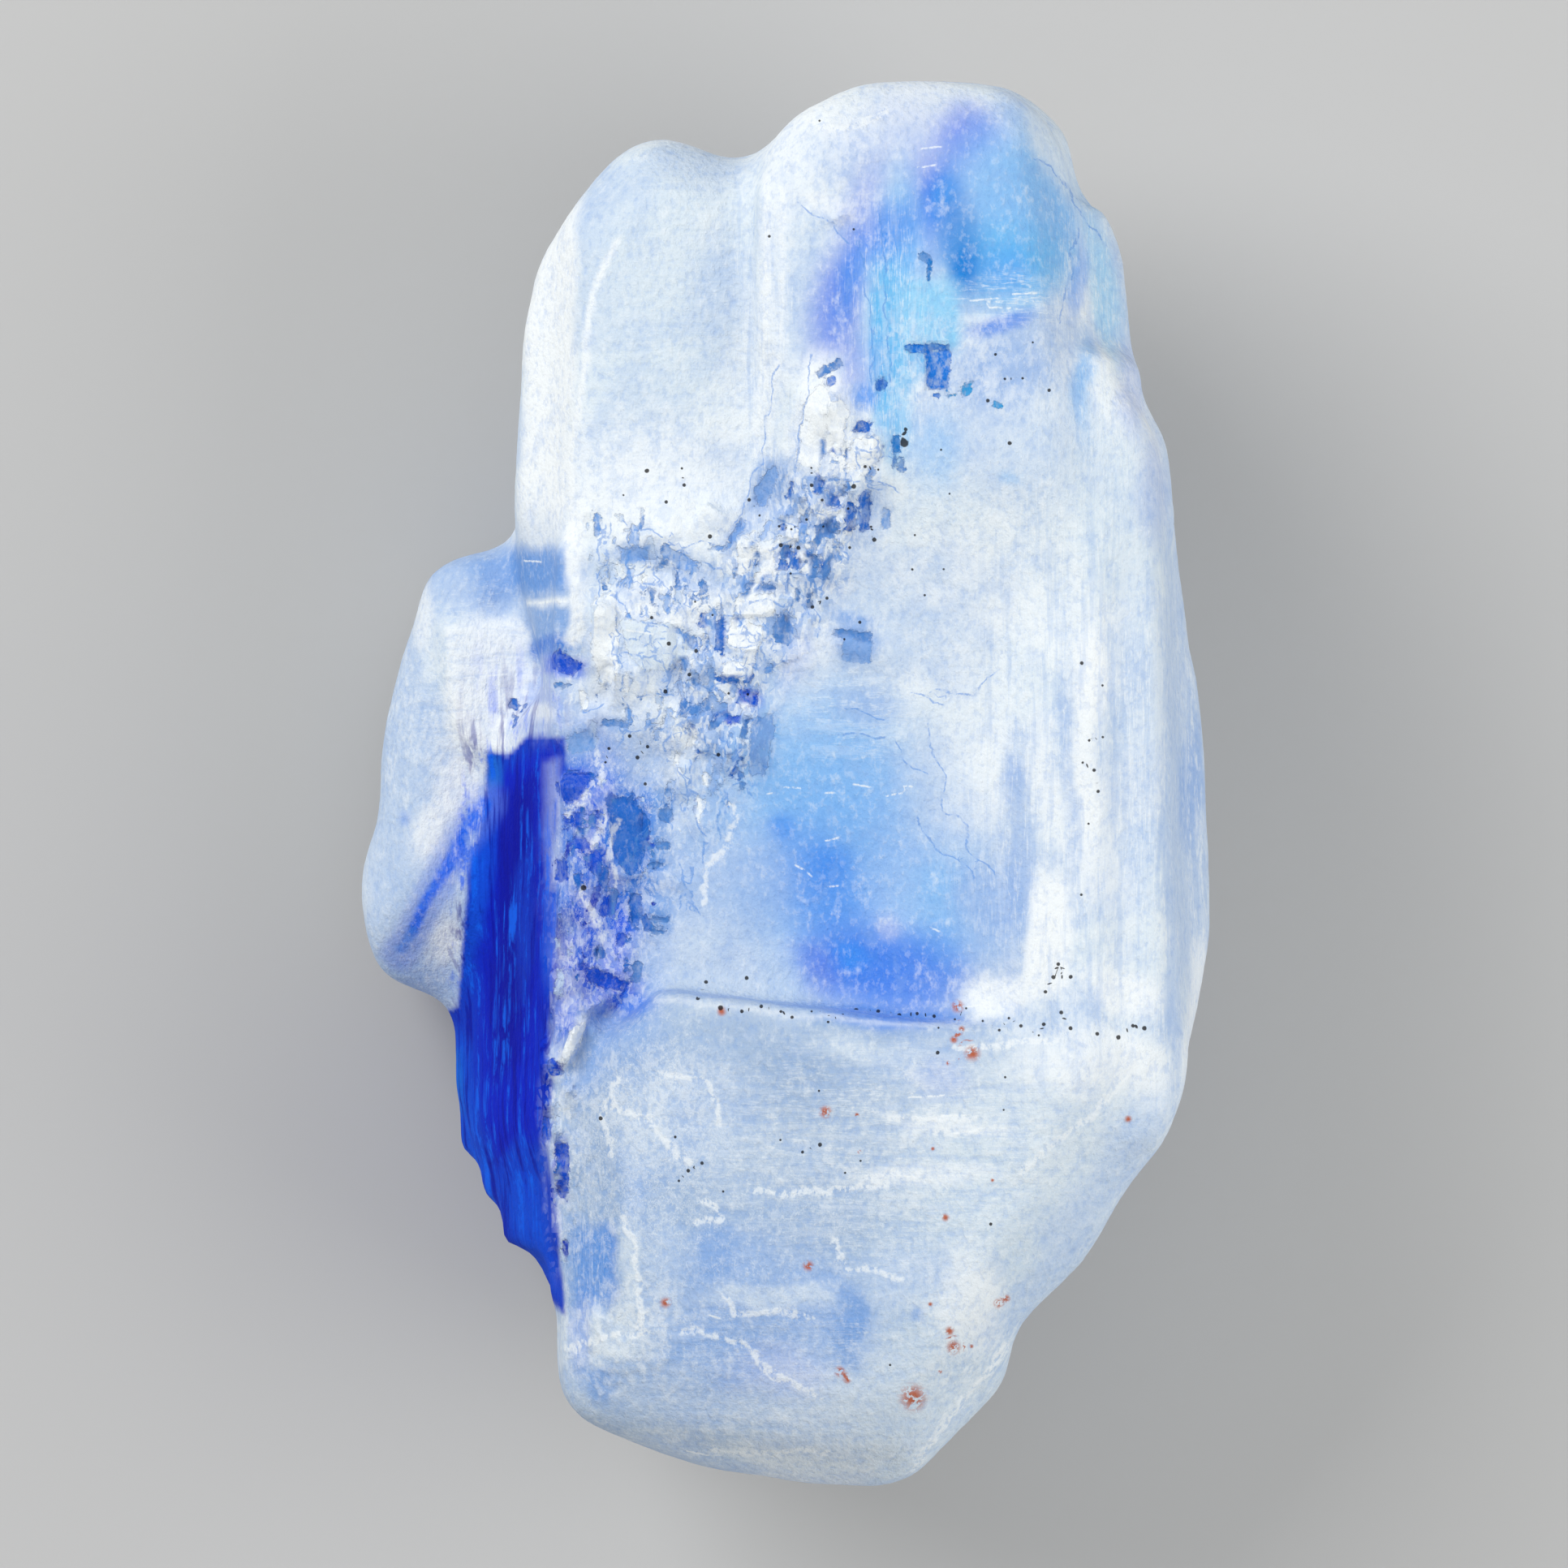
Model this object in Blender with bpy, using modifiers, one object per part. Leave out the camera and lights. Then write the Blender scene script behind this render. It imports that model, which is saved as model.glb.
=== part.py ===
"""Blue halite: a cleaved chunk of rock salt, crystals grown together in one piece.

The specimen lies on its back on a flat cleavage face. X runs across it, Y runs along it
towards the end that has two lobes, and Z runs up to the face that shows. The origin is on the
resting face, at the middle of the specimen's outline. Numbers in the forms are millimetres.

Salt splits along three planes that are square to each other, so every form here is a prism
that stands on a flat outline and is split along further planes. The large ones are grown
together and worn round first. Then small bricks and steps are set into their surface, all is
grown together once more, and one last cut lays the specimen flat.
"""
import math
import random

import bmesh
import bpy
from mathutils import Matrix, Vector
from mathutils.bvhtree import BVHTree

MM = 0.001

# Driving dimensions
LENGTH = 51.7
WIDTH = 31.7
THICKNESS = 21.8

# How the forms are grown together and worn
MASS_GRAIN = 0.5        # cell of the remesh that joins the large forms
MASS_WEAR = 10          # rounds of smoothing that make their edges round
STEP_GRAIN = 0.36       # cell of the remesh that joins the bricks to them
STEP_WEAR = 2
SWELL_HEIGHT = 0.3      # slow undulation of the dissolved faces
SWELL_WIDTH = 4.5
FLUTE_HEIGHT = 0.22     # upright flutes of the right column
FLUTE_PITCH = 2.3
FLUTE_CREST = 8.8
RESTING_CUT = 0.5       # how much of the back is cut off flat
TRIANGLES = 9500

CLEAVAGE_TURN = math.radians(-4.0)  # the cleavage directions, turned about Z
DICE_SEED = 11


def clear_scene():
    for old in list(bpy.data.objects):
        bpy.data.objects.remove(old, do_unlink=True)


def collection(name):
    found = bpy.data.collections.new(name)
    bpy.context.scene.collection.children.link(found)
    return found


def halite_material():
    """Milky rock salt: pale, faintly blue, frosted."""
    made = bpy.data.materials.new("frosted_blue_halite")
    made.use_nodes = True
    shader = made.node_tree.nodes["Principled BSDF"]
    shader.inputs["Base Color"].default_value = (0.72, 0.82, 0.95, 1.0)
    shader.inputs["Roughness"].default_value = 0.45
    shader.inputs["Metallic"].default_value = 0.0
    shader.inputs["IOR"].default_value = 1.544
    return made


def cleave(form, point, normal):
    """Split the form along a plane and keep the side that the normal points away from."""
    cut = bmesh.ops.bisect_plane(
        form,
        geom=form.verts[:] + form.edges[:] + form.faces[:],
        plane_co=Vector(point) * MM,
        plane_no=Vector(normal).normalized(),
        clear_outer=True,
    )
    rim = [part for part in cut["geom_cut"] if isinstance(part, bmesh.types.BMEdge)]
    bmesh.ops.holes_fill(form, edges=rim)


def block(name, outline, low, high, planes=()):
    """A prism of salt on a flat outline, between two heights, split along further planes."""
    curve = bpy.data.curves.new(name, "CURVE")
    curve.dimensions = "2D"
    curve.fill_mode = "BOTH"
    curve.extrude = (high - low) / 2 * MM
    spline = curve.splines.new("POLY")
    spline.points.add(len(outline) - 1)
    for point, (x, y) in zip(spline.points, outline):
        point.co = (x * MM, y * MM, 0.0, 1.0)
    spline.use_cyclic_u = True
    drawn = bpy.data.objects.new(name, curve)
    bpy.context.scene.collection.objects.link(drawn)
    drawn.location.z = (low + high) / 2 * MM
    bpy.context.view_layer.update()

    evaluated = drawn.evaluated_get(bpy.context.evaluated_depsgraph_get())
    mesh = bpy.data.meshes.new_from_object(evaluated)
    form = bmesh.new()
    form.from_mesh(mesh)
    form.transform(drawn.matrix_world)
    bmesh.ops.remove_doubles(form, verts=form.verts, dist=1e-6)
    for point, normal in planes:
        cleave(form, point, normal)
    bmesh.ops.recalc_face_normals(form, faces=form.faces)
    form.to_mesh(mesh)
    form.free()
    bpy.data.objects.remove(drawn)
    return mesh


def brick(name, centre, size, turn=CLEAVAGE_TURN, lean=0.0, roll=0.0):
    """A cleavage brick, turned about Z and leaning a little."""
    form = bmesh.new()
    bmesh.ops.create_cube(form, size=1.0)
    form.transform(
        Matrix.Translation(Vector(centre) * MM)
        @ Matrix.Rotation(turn, 4, "Z")
        @ Matrix.Rotation(lean, 4, "X")
        @ Matrix.Rotation(roll, 4, "Y")
        @ Matrix.Diagonal(Vector(size) * MM).to_4x4()
    )
    mesh = bpy.data.meshes.new(name)
    form.to_mesh(mesh)
    form.free()
    return mesh


def trunk():
    """The bulk of the specimen. It gives the outline, and its back is split to a chunk."""
    outline = [
        (-8.6, 8.8), (-9.8, 8.8), (-9.95, 11.0), (-9.85, 14.0), (-9.65, 16.6), (-9.1, 19.1),
        (-7.9, 21.0), (-6.05, 23.2), (-4.7, 23.9), (-3.6, 23.6), (-2.2, 22.8), (-0.7, 22.9),
        (0.3, 24.5), (1.8, 25.3), (2.7, 25.8), (5.8, 25.9), (8.4, 25.6), (9.5, 24.8),
        (10.6, 23.8), (10.85, 21.6), (11.8, 20.8), (12.45, 19.2), (12.75, 16.2),
        (13.05, 15.0), (13.05, 13.9), (14.05, 12.3), (14.4, 9.5), (14.9, 6.0), (14.95, 4.4),
        (15.3, 4.0), (15.6, 0.4), (15.75, -2.5), (15.7, -6.0), (15.3, -8.6), (14.6, -10.9),
        (14.3, -12.7), (13.1, -13.9), (12.4, -15.2), (11.1, -17.5), (8.6, -19.8),
        (8.1, -22.2), (4.9, -25.6), (3.7, -26.1), (1.0, -26.1), (-3.0, -25.4), (-6.9, -23.9),
        (-8.1, -23.1), (-8.4, -22.2), (-8.3, -19.5), (-8.7, -17.6), (-8.5, -6.0),
    ]
    back = [
        ((15.7, -1.0, 7.6), (0.80, 0.05, -0.60)),
        ((13.0, -14.5, 8.4), (0.66, -0.42, -0.62)),
        ((2.0, -26.2, 9.6), (-0.08, -0.78, -0.62)),
        ((-8.4, -16.0, 5.4), (-0.72, -0.18, -0.67)),
        ((-8.6, 4.0, 2.0), (-0.70, 0.0, -0.71)),
        ((-9.4, 16.0, 7.6), (-0.66, 0.22, -0.71)),
        ((2.0, 26.0, 10.4), (0.05, 0.74, -0.67)),
        ((12.0, 20.0, 8.6), (0.62, 0.42, -0.66)),
    ]
    return block("trunk", outline, 0.0, 14.6, back)


def upper_left_lobe():
    """The pillowy lobe on the left, with a bright side face."""
    outline = [
        (-9.9, 7.8), (-9.95, 11.0), (-9.75, 15.0), (-9.4, 17.8), (-8.6, 19.9), (-6.2, 22.9),
        (-4.7, 23.6), (-3.5, 23.3), (-2.0, 22.5), (0.8, 22.6), (0.8, 2.0), (-8.4, 2.0),
    ]
    planes = [
        ((-7.5, 14.0, 18.3), (-0.93, 0.05, 0.36)),
        ((-6.0, 20.4, 18.2), (-0.5, 0.58, 0.64)),
        ((-3.0, 21.4, 18.2), (0.1, 0.78, 0.62)),
        ((-4.0, 13.0, 18.5), (-0.10, 0.03, 1.0)),
        ((-4.0, 5.0, 18.6), (-0.16, -0.10, 1.0)),
    ]
    return block("upper_left_lobe", outline, 6.0, 20.0, planes)


def upper_right_lobe():
    """The tallest lobe, a little in front of its neighbour."""
    outline = [
        (-0.9, 21.6), (-0.6, 23.0), (0.4, 24.2), (1.9, 24.9), (2.8, 25.3), (5.8, 25.4),
        (8.2, 25.1), (9.5, 24.1), (10.3, 23.0), (10.6, 21.0), (11.4, 19.4), (12.2, 16.0),
        (12.6, 4.0), (1.0, 4.0), (-0.4, 12.0),
    ]
    planes = [
        ((4.0, 23.4, 20.5), (0.0, 0.62, 0.78)),
        ((0.6, 22.6, 20.2), (-0.55, 0.5, 0.67)),
        ((9.6, 17.0, 20.3), (0.80, 0.12, 0.58)),
        ((4.5, 17.0, 20.8), (-0.01, 0.035, 1.0)),
        ((4.5, 10.0, 20.6), (-0.04, -0.26, 1.0)),
    ]
    return block("upper_right_lobe", outline, 8.0, 22.0, planes)


def right_column():
    """The long column down the right side, with a bluish side face."""
    outline = [
        (2.6, 12.0), (12.2, 14.4), (13.7, 12.0), (14.4, 8.2), (14.9, 4.1), (15.4, 0.0),
        (15.6, -4.0), (15.2, -8.6), (14.4, -11.6), (13.6, -13.4), (2.6, -12.6),
    ]
    planes = [
        ((14.1, -2.0, 19.1), (0.985, 0.04, 0.17)),
        ((9.6, 0.0, 20.5), (-0.36, 0.04, 0.93)),
        ((10.0, 11.0, 20.4), (0.12, 0.10, 0.98)),
        ((12.4, 0.0, 20.1), (0.20, -0.02, 0.98)),
        ((11.0, -10.0, 20.5), (0.1, -0.20, 1.0)),
    ]
    return block("right_column", outline, 7.0, 22.0, planes)


def clear_face():
    """The clear face in the middle, sinking towards the ledge."""
    outline = [(-8.8, 4.5), (-4.0, 9.0), (7.6, 9.0), (8.4, -9.8), (-4.6, -9.4), (-8.4, -13.0)]
    planes = [
        ((1.5, -8.7, 17.9), (-0.03, -0.11, 1.0)),
        ((-4.6, -3.0, 17.9), (-0.34, -0.03, 0.94)),
        ((-8.0, -4.0, 16.6), (-0.80, 0.0, 0.60)),
    ]
    return block("clear_face", outline, 6.0, 21.0, planes)


def lower_block():
    """The block that forms the lower end."""
    outline = [
        (-6.4, -9.2), (-4.4, -8.2), (2.2, -9.1), (6.7, -9.5), (13.8, -9.6), (14.3, -11.6),
        (13.9, -13.2), (12.9, -14.2), (12.1, -15.6), (10.9, -17.6), (8.5, -19.8),
        (8.1, -22.2), (4.9, -25.5), (3.7, -26.0), (1.0, -26.0), (-3.0, -25.3), (-6.8, -23.8),
        (-7.9, -23.0), (-8.2, -22.0), (-8.2, -19.4), (-8.4, -14.0),
    ]
    planes = [
        ((2.0, -11.0, 20.9), (-0.05, -0.10, 1.0)),
        ((1.0, -18.6, 20.1), (-0.06, -0.26, 0.96)),
        ((1.0, -22.4, 18.9), (-0.08, -0.52, 0.85)),
        ((1.0, -24.8, 16.6), (-0.10, -0.86, 0.50)),
        ((10.4, -14.0, 20.0), (0.52, -0.34, 0.79)),
        ((6.2, -22.4, 17.8), (0.62, -0.55, 0.56)),
        ((-6.6, -16.0, 18.9), (-0.70, -0.04, 0.71)),
        ((13.0, -11.0, 19.6), (0.75, -0.10, 0.65)),
    ]
    return block("lower_block", outline, 6.0, 22.0, planes)


def left_lobe():
    """The smaller crystal on the left, set further back."""
    outline = [
        (-8.0, 8.7), (-9.8, 8.95), (-10.6, 8.65), (-12.2, 8.5), (-13.6, 7.7), (-14.0, 5.7),
        (-14.4, 5.2), (-15.0, 2.9), (-15.4, 0.6), (-15.25, -1.0), (-15.4, -1.8),
        (-15.9, -2.6), (-16.1, -4.0), (-15.8, -6.2), (-15.3, -7.4), (-13.8, -8.1),
        (-11.5, -8.4), (-8.0, -8.4),
    ]
    planes = [
        ((-11.0, 7.0, 10.4), (-0.1, 0.55, 0.83)),
        ((-14.0, 0.0, 9.8), (-0.80, 0.10, 0.60)),
        ((-13.0, -6.0, 9.4), (-0.25, -0.60, 0.76)),
        ((-11.0, 0.0, 10.6), (-0.10, 0.02, 1.0)),
        ((-12.6, 0.0, 1.2), (-0.35, -0.05, -0.93)),
        ((-12.0, -6.6, 2.2), (-0.10, -0.62, -0.78)),
    ]
    return block("left_lobe", outline, 1.0, 11.4, planes)


def blue_rib():
    """The deep blue side wall of the trunk."""
    outline = [
        (-7.0, 3.0), (-9.8, 2.6), (-11.2, 1.2), (-11.3, -1.2), (-12.0, -2.9), (-12.2, -5.6),
        (-12.55, -8.0), (-12.55, -12.0), (-12.1, -12.6), (-11.9, -13.8), (-11.5, -14.6),
        (-10.6, -15.2), (-10.35, -16.4), (-9.6, -17.1), (-8.9, -18.6), (-7.0, -19.6),
    ]
    planes = [
        ((-8.5, -4.0, 17.2), (-0.93, 0.02, 0.36)),
        ((-8.6, -14.0, 16.6), (-0.88, -0.32, 0.36)),
        ((-12.0, -8.0, 3.0), (-0.50, 0.0, -0.87)),
    ]
    return block("blue_rib", outline, 2.0, 18.0, planes)


def ledge_plate():
    """The sharp upper edge of the lower block, which runs across the front."""
    outline = [
        (-5.6, -8.6), (-4.4, -7.55), (2.2, -8.35), (6.7, -8.85), (10.4, -9.15), (10.2, -12.0),
        (2.0, -13.5), (-6.4, -12.5),
    ]
    planes = [
        ((2.0, -11.0, 20.75), (-0.04, -0.07, 1.0)),
        ((-5.0, -9.0, 19.6), (-0.6, 0.2, 0.77)),
    ]
    return block("ledge_plate", outline, 14.0, 22.0, planes)


def shoulder_steps():
    """The edge to the right of the tallest lobe drops in cleavage steps."""
    upper = [(8.6, 20.9), (11.7, 20.9), (12.4, 19.2), (12.7, 16.2), (12.7, 12.0), (8.6, 12.0)]
    lower = [(9.5, 15.6), (12.95, 15.3), (13.0, 14.0), (14.0, 12.3), (14.3, 9.0), (9.5, 9.0)]
    first = block("shoulder_upper", upper, 8.0, 18.4, [((11.4, 16.0, 17.6), (0.75, 0.05, 0.66))])
    second = block("shoulder_lower", lower, 8.0, 19.6, [((12.6, 12.0, 18.9), (0.8, 0.15, 0.58))])
    return [first, second]


def lobe_steps():
    """A brick that stands proud on the left lobe, and a thin one over it."""
    proud = [(-12.9, 6.1), (-9.4, 5.9), (-9.5, 1.2), (-11.5, 0.9), (-12.4, 2.0), (-12.7, 4.0)]
    thin = [(-11.8, 8.3), (-8.0, 8.3), (-8.0, 6.8), (-11.4, 6.7)]
    return [
        block("lobe_brick", proud, 6.0, 12.0, [((-11.0, 3.0, 11.5), (-0.14, 0.10, 1.0))]),
        block("lobe_cap", thin, 6.0, 11.0, [((-10.0, 7.4, 10.6), (0.0, 0.35, 0.94))]),
    ]


def rib_plates():
    """The foot of the blue rib steps back in thin plates."""
    plates = []
    for index in range(3):
        top = -6.0 - 2.4 * index
        foot = -14.2 - 1.6 * index
        edge = -12.4 + 0.9 * index
        outline = [(-7.5, top), (edge, top), (edge + 0.1, foot), (-7.5, foot)]
        wall = ((edge + 0.5, top, 7.6 + 2.2 * index), (-0.93, 0.0, 0.36))
        plates.append(block(f"rib_plate_{index}", outline, 4.0, 15.5, [wall]))
    return plates


def back_steps():
    """Cleavage steps on the hidden side, round the flat face that the specimen rests on."""
    flat = [
        (-5.2, 17.4), (-6.0, 9.0), (-6.2, -6.0), (-5.6, -15.5), (-1.5, -18.6), (4.8, -17.8),
        (8.0, -13.0), (10.4, -8.0), (10.8, 4.0), (9.4, 12.0), (7.4, 17.0), (1.0, 18.8),
    ]
    steps = [block("resting_face", flat, 0.0, 6.0)]
    for index in range(3):
        reach = 12.0 + 1.0 * index
        low = 1.7 + 1.8 * index
        side = [(4.0, 9.5 + index), (reach, 8.0 + index), (reach + 0.2, -5.5), (4.0, -8.5)]
        end = [(-4.5, -12.0), (5.0, -12.0), (4.6, -19.4 - 1.3 * index), (-3.8, -19.9 - index)]
        crown = [(-2.0, 12.0), (8.6, 12.0), (7.8, 18.8 + 1.5 * index), (-1.2, 18.2 + index)]
        steps.append(block(f"side_step_{index}", side, low, 8.0))
        steps.append(block(f"end_step_{index}", end, low + 0.3, 8.0))
        steps.append(block(f"crown_step_{index}", crown, low + 0.6, 8.0))
    return steps


def surface_height(skin, x, y):
    """Height of the face that shows, over one point of the outline."""
    hit = skin.ray_cast(Vector((x * MM, y * MM, 0.1)), Vector((0.0, 0.0, -1.0)))[0]
    return hit.z / MM


def fade(value, start, end, width):
    """One between start and end, falling to nothing over a width outside them."""
    outside = max(start - value, value - end, 0.0)
    return max(0.0, 1.0 - outside / width)


def press_flutes(form):
    """Soft upright flutes on the right column, made by moving the skin up and down."""
    for vertex in form.verts:
        x = vertex.co.x / MM
        y = vertex.co.y / MM
        reach = fade(x, 7.6, 13.6, 1.2) * fade(y, -8.4, 7.0, 2.5) * max(vertex.normal.z, 0.0)
        wave = math.cos(2 * math.pi * (x - FLUTE_CREST) / FLUTE_PITCH)
        vertex.co.z += FLUTE_HEIGHT * reach * wave * MM


def seams(skin):
    """Narrow ridges along the seams between crystals."""
    ridges = [
        ("lobe_seam", (-0.75, 21.0), (-0.7, 11.0), 0.55, 0.5),
        ("left_seam", (-7.8, 8.2), (-8.1, 1.8), 0.9, 0.5),
        ("rib_seam", (-8.1, -9.6), (-8.3, -18.6), 0.7, 0.3),
    ]
    made = []
    pieces = 4
    for name, head, foot, width, proud in ridges:
        for piece in range(pieces):
            along = (piece + 0.5) / pieces
            x = head[0] + (foot[0] - head[0]) * along
            y = head[1] + (foot[1] - head[1]) * along
            length = (head[1] - foot[1]) / pieces + 0.9
            centre = (x, y, surface_height(skin, x, y) + proud - 1.2)
            made.append(brick(f"{name}_{piece}", centre, (width, length, 2.4), 0.0))
    return made


def broken_zone(skin):
    """Shards along the broken zone that runs down between the two upper lobes."""
    shards = [
        (2.2, 13.2, 2.3, 2.4, 0.35), (3.0, 11.8, 1.3, 2.2, 0.40), (1.2, 11.6, 1.2, 3.8, 0.45),
        (1.7, 9.8, 1.6, 1.2, 0.45), (1.3, 8.4, 1.4, 1.3, 0.45), (0.0, 7.3, 1.3, 1.6, 0.45),
        (-1.3, 7.5, 1.9, 2.2, 0.30), (-2.8, 8.9, 1.7, 1.8, 0.35), (-4.6, 9.2, 2.6, 1.7, 0.30),
        (-4.6, 4.2, 3.2, 1.9, 0.45), (-4.5, 6.3, 2.6, 1.6, 0.35), (-1.9, 5.0, 1.7, 2.3, 0.40),
        (-2.7, 2.9, 1.3, 1.9, 0.40), (-4.3, 2.2, 2.0, 1.6, 0.35), (-1.5, 2.4, 0.9, 3.2, 0.45),
        (-6.4, 5.0, 1.9, 3.0, 0.30), (-6.2, 1.6, 1.8, 2.4, 0.40), (-7.0, -0.8, 1.5, 2.0, 0.35),
        (-5.2, -1.8, 1.7, 3.0, 0.35), (-7.2, -3.8, 1.2, 2.8, 0.40), (-5.7, -6.2, 1.5, 2.6, 0.35),
        (-7.6, -8.8, 1.1, 2.2, 0.40), (2.9, 4.9, 2.0, 1.3, 0.30), (0.6, 5.1, 1.2, 2.0, 0.35),
    ]
    dice = random.Random(DICE_SEED)
    made = []
    for index, (x, y, width, length, proud) in enumerate(shards):
        turn = CLEAVAGE_TURN + dice.uniform(-0.16, 0.16)
        lean = dice.uniform(-0.3, 0.3)
        roll = dice.uniform(-0.3, 0.3)
        depth = 2.2
        centre = (x, y, surface_height(skin, x, y) + proud - depth / 2)
        made.append(brick(f"shard_{index}", centre, (width, length, depth), turn, lean, roll))
    return made


def joined(name, meshes):
    """One object that holds every prism."""
    form = bmesh.new()
    for mesh in meshes:
        form.from_mesh(mesh)
        bpy.data.meshes.remove(mesh)
    mesh = bpy.data.meshes.new(name)
    form.to_mesh(mesh)
    form.free()
    thing = bpy.data.objects.new(name, mesh)
    bpy.context.scene.collection.objects.link(thing)
    return thing


def grown_together(name, meshes, grain, wear):
    """The prisms under one skin, with their edges worn."""
    thing = joined(name, meshes)
    skin = thing.modifiers.new("skin", "REMESH")
    skin.mode = "VOXEL"
    skin.voxel_size = grain * MM
    smoothing = thing.modifiers.new("wear", "SMOOTH")
    smoothing.factor = 0.5
    smoothing.iterations = wear
    return thing


def add_swell(thing):
    """Slow undulation, as dissolved salt has."""
    texture = bpy.data.textures.new("swell", "CLOUDS")
    texture.noise_scale = SWELL_WIDTH * MM
    texture.noise_depth = 1
    swell = thing.modifiers.new("swell", "DISPLACE")
    swell.texture = texture
    swell.texture_coords = "LOCAL"
    swell.direction = "NORMAL"
    swell.mid_level = 0.5
    swell.strength = SWELL_HEIGHT * MM


def worked_in(thing):
    """The object's mesh with its modifiers worked in."""
    evaluated = thing.evaluated_get(bpy.context.evaluated_depsgraph_get())
    return bpy.data.meshes.new_from_object(evaluated)


def fit_to_size(mesh):
    """Bring the outline to the driving dimensions, with the origin under its middle."""
    lows = [min(v.co[axis] for v in mesh.vertices) for axis in range(3)]
    highs = [max(v.co[axis] for v in mesh.vertices) for axis in range(3)]
    lows[2] += RESTING_CUT * MM
    wanted = (WIDTH * MM, LENGTH * MM, THICKNESS * MM)
    scale = [wanted[axis] / (highs[axis] - lows[axis]) for axis in range(3)]
    foot = Vector(((lows[0] + highs[0]) / 2, (lows[1] + highs[1]) / 2, lows[2]))
    mesh.transform(Matrix.Diagonal(Vector(scale)).to_4x4() @ Matrix.Translation(-foot))


def resting_cutter(cutters):
    """A slab under the specimen that cuts its resting face flat."""
    form = bmesh.new()
    bmesh.ops.create_cube(form, size=1.0)
    form.transform(Matrix.Diagonal((0.1, 0.1, 0.02, 1.0)))
    form.transform(Matrix.Translation((0.0, 0.0, -0.01)))
    mesh = bpy.data.meshes.new("resting_cut")
    form.to_mesh(mesh)
    form.free()
    cutter = bpy.data.objects.new("resting_cut", mesh)
    cutter.hide_render = True
    cutter.display_type = "WIRE"
    cutters.objects.link(cutter)
    return cutter


def main():
    clear_scene()
    parts = collection("blue_halite")
    cutters = collection("cutters")

    masses = [
        trunk(), upper_left_lobe(), upper_right_lobe(), right_column(), clear_face(),
        lower_block(), left_lobe(), blue_rib(),
    ]
    mass = grown_together("mass", masses, MASS_GRAIN, MASS_WEAR)
    add_swell(mass)
    mass_mesh = worked_in(mass)
    bpy.data.objects.remove(mass)
    form = bmesh.new()
    form.from_mesh(mass_mesh)
    press_flutes(form)
    form.to_mesh(mass_mesh)
    skin = BVHTree.FromBMesh(form)
    form.free()

    steps = [ledge_plate()]
    steps += shoulder_steps()
    steps += lobe_steps()
    steps += rib_plates()
    steps += back_steps()
    steps += seams(skin)
    steps += broken_zone(skin)

    halite = grown_together("halite", [mass_mesh] + steps, STEP_GRAIN, STEP_WEAR)
    mesh = worked_in(halite)
    halite.modifiers.clear()
    halite.data = mesh
    fit_to_size(mesh)

    mesh.calc_loop_triangles()
    fewer = halite.modifiers.new("fewer_faces", "DECIMATE")
    fewer.ratio = TRIANGLES / len(mesh.loop_triangles)
    flat = halite.modifiers.new("resting_face", "BOOLEAN")
    flat.operation = "DIFFERENCE"
    flat.object = resting_cutter(cutters)

    halite.data.materials.append(halite_material())
    bpy.context.scene.collection.objects.unlink(halite)
    parts.objects.link(halite)


main()
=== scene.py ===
# %% [markdown]
# # A piece of blue halite
# Halite is rock salt. It grows as cubes and splits along three planes that are square to each
# other, so a broken piece is all steps, ledges and small flat windows. This one is milky white to
# pale blue, with clouds of cyan, violet and deep blue inside, and a skin frosted by damp air.
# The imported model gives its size, its outline and its main forms. This script makes its skin:
# the fine steps, the frosting, the colour clouds, the clear windows and the specks of dirt.

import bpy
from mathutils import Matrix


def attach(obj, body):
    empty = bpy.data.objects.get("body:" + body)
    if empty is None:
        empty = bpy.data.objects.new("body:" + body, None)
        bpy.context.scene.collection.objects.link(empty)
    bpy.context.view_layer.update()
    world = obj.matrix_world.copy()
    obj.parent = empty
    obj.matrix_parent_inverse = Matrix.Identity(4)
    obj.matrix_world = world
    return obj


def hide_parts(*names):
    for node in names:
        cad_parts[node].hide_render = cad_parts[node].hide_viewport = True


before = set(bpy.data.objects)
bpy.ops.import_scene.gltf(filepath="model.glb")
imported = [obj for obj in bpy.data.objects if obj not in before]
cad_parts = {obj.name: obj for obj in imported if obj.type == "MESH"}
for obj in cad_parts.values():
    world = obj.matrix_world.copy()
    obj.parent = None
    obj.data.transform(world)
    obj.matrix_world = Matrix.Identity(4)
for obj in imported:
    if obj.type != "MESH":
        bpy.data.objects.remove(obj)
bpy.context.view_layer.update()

# %% [markdown]
# Everything else comes from Blender and Python. Lengths are written in millimetres, because that
# is how a mineral is measured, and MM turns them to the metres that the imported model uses.

# %% Modules and units
import math
import random

import bpy
import numpy as np
from mathutils import Vector, noise
from mathutils.bvhtree import BVHTree

MM = 0.001
print("Blender", bpy.app.version_string)

# %% [markdown]
# The photograph shows the stone upright, but its lower end is round and would not stand. It lies
# on its back, and the camera looks straight down on it. A long lens far away keeps the view
# nearly parallel, as a close-up of a small stone looks. Places on the front of the stone are
# written as pixels of the photograph, which is 1932 pixels wide, and the camera's own numbers
# turn them to millimetres.

# %% Camera
PHOTO_SIZE = 1932
PIXEL = 0.03              # mm on the plane in focus
FOCUS_HEIGHT = 12.0
LENS = 160.0
SENSOR = 36.0
VIEW_RISE = PHOTO_SIZE * PIXEL * LENS / SENSOR
AIM = (0.15, -0.06)

camera = bpy.data.objects.new("camera", bpy.data.cameras.new("camera"))
camera.data.lens = LENS
camera.data.sensor_width = SENSOR
camera.data.clip_start = 0.01
camera.location = (AIM[0] * MM, AIM[1] * MM, (FOCUS_HEIGHT + VIEW_RISE) * MM)
bpy.context.scene.collection.objects.link(camera)
bpy.context.scene.camera = camera


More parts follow.
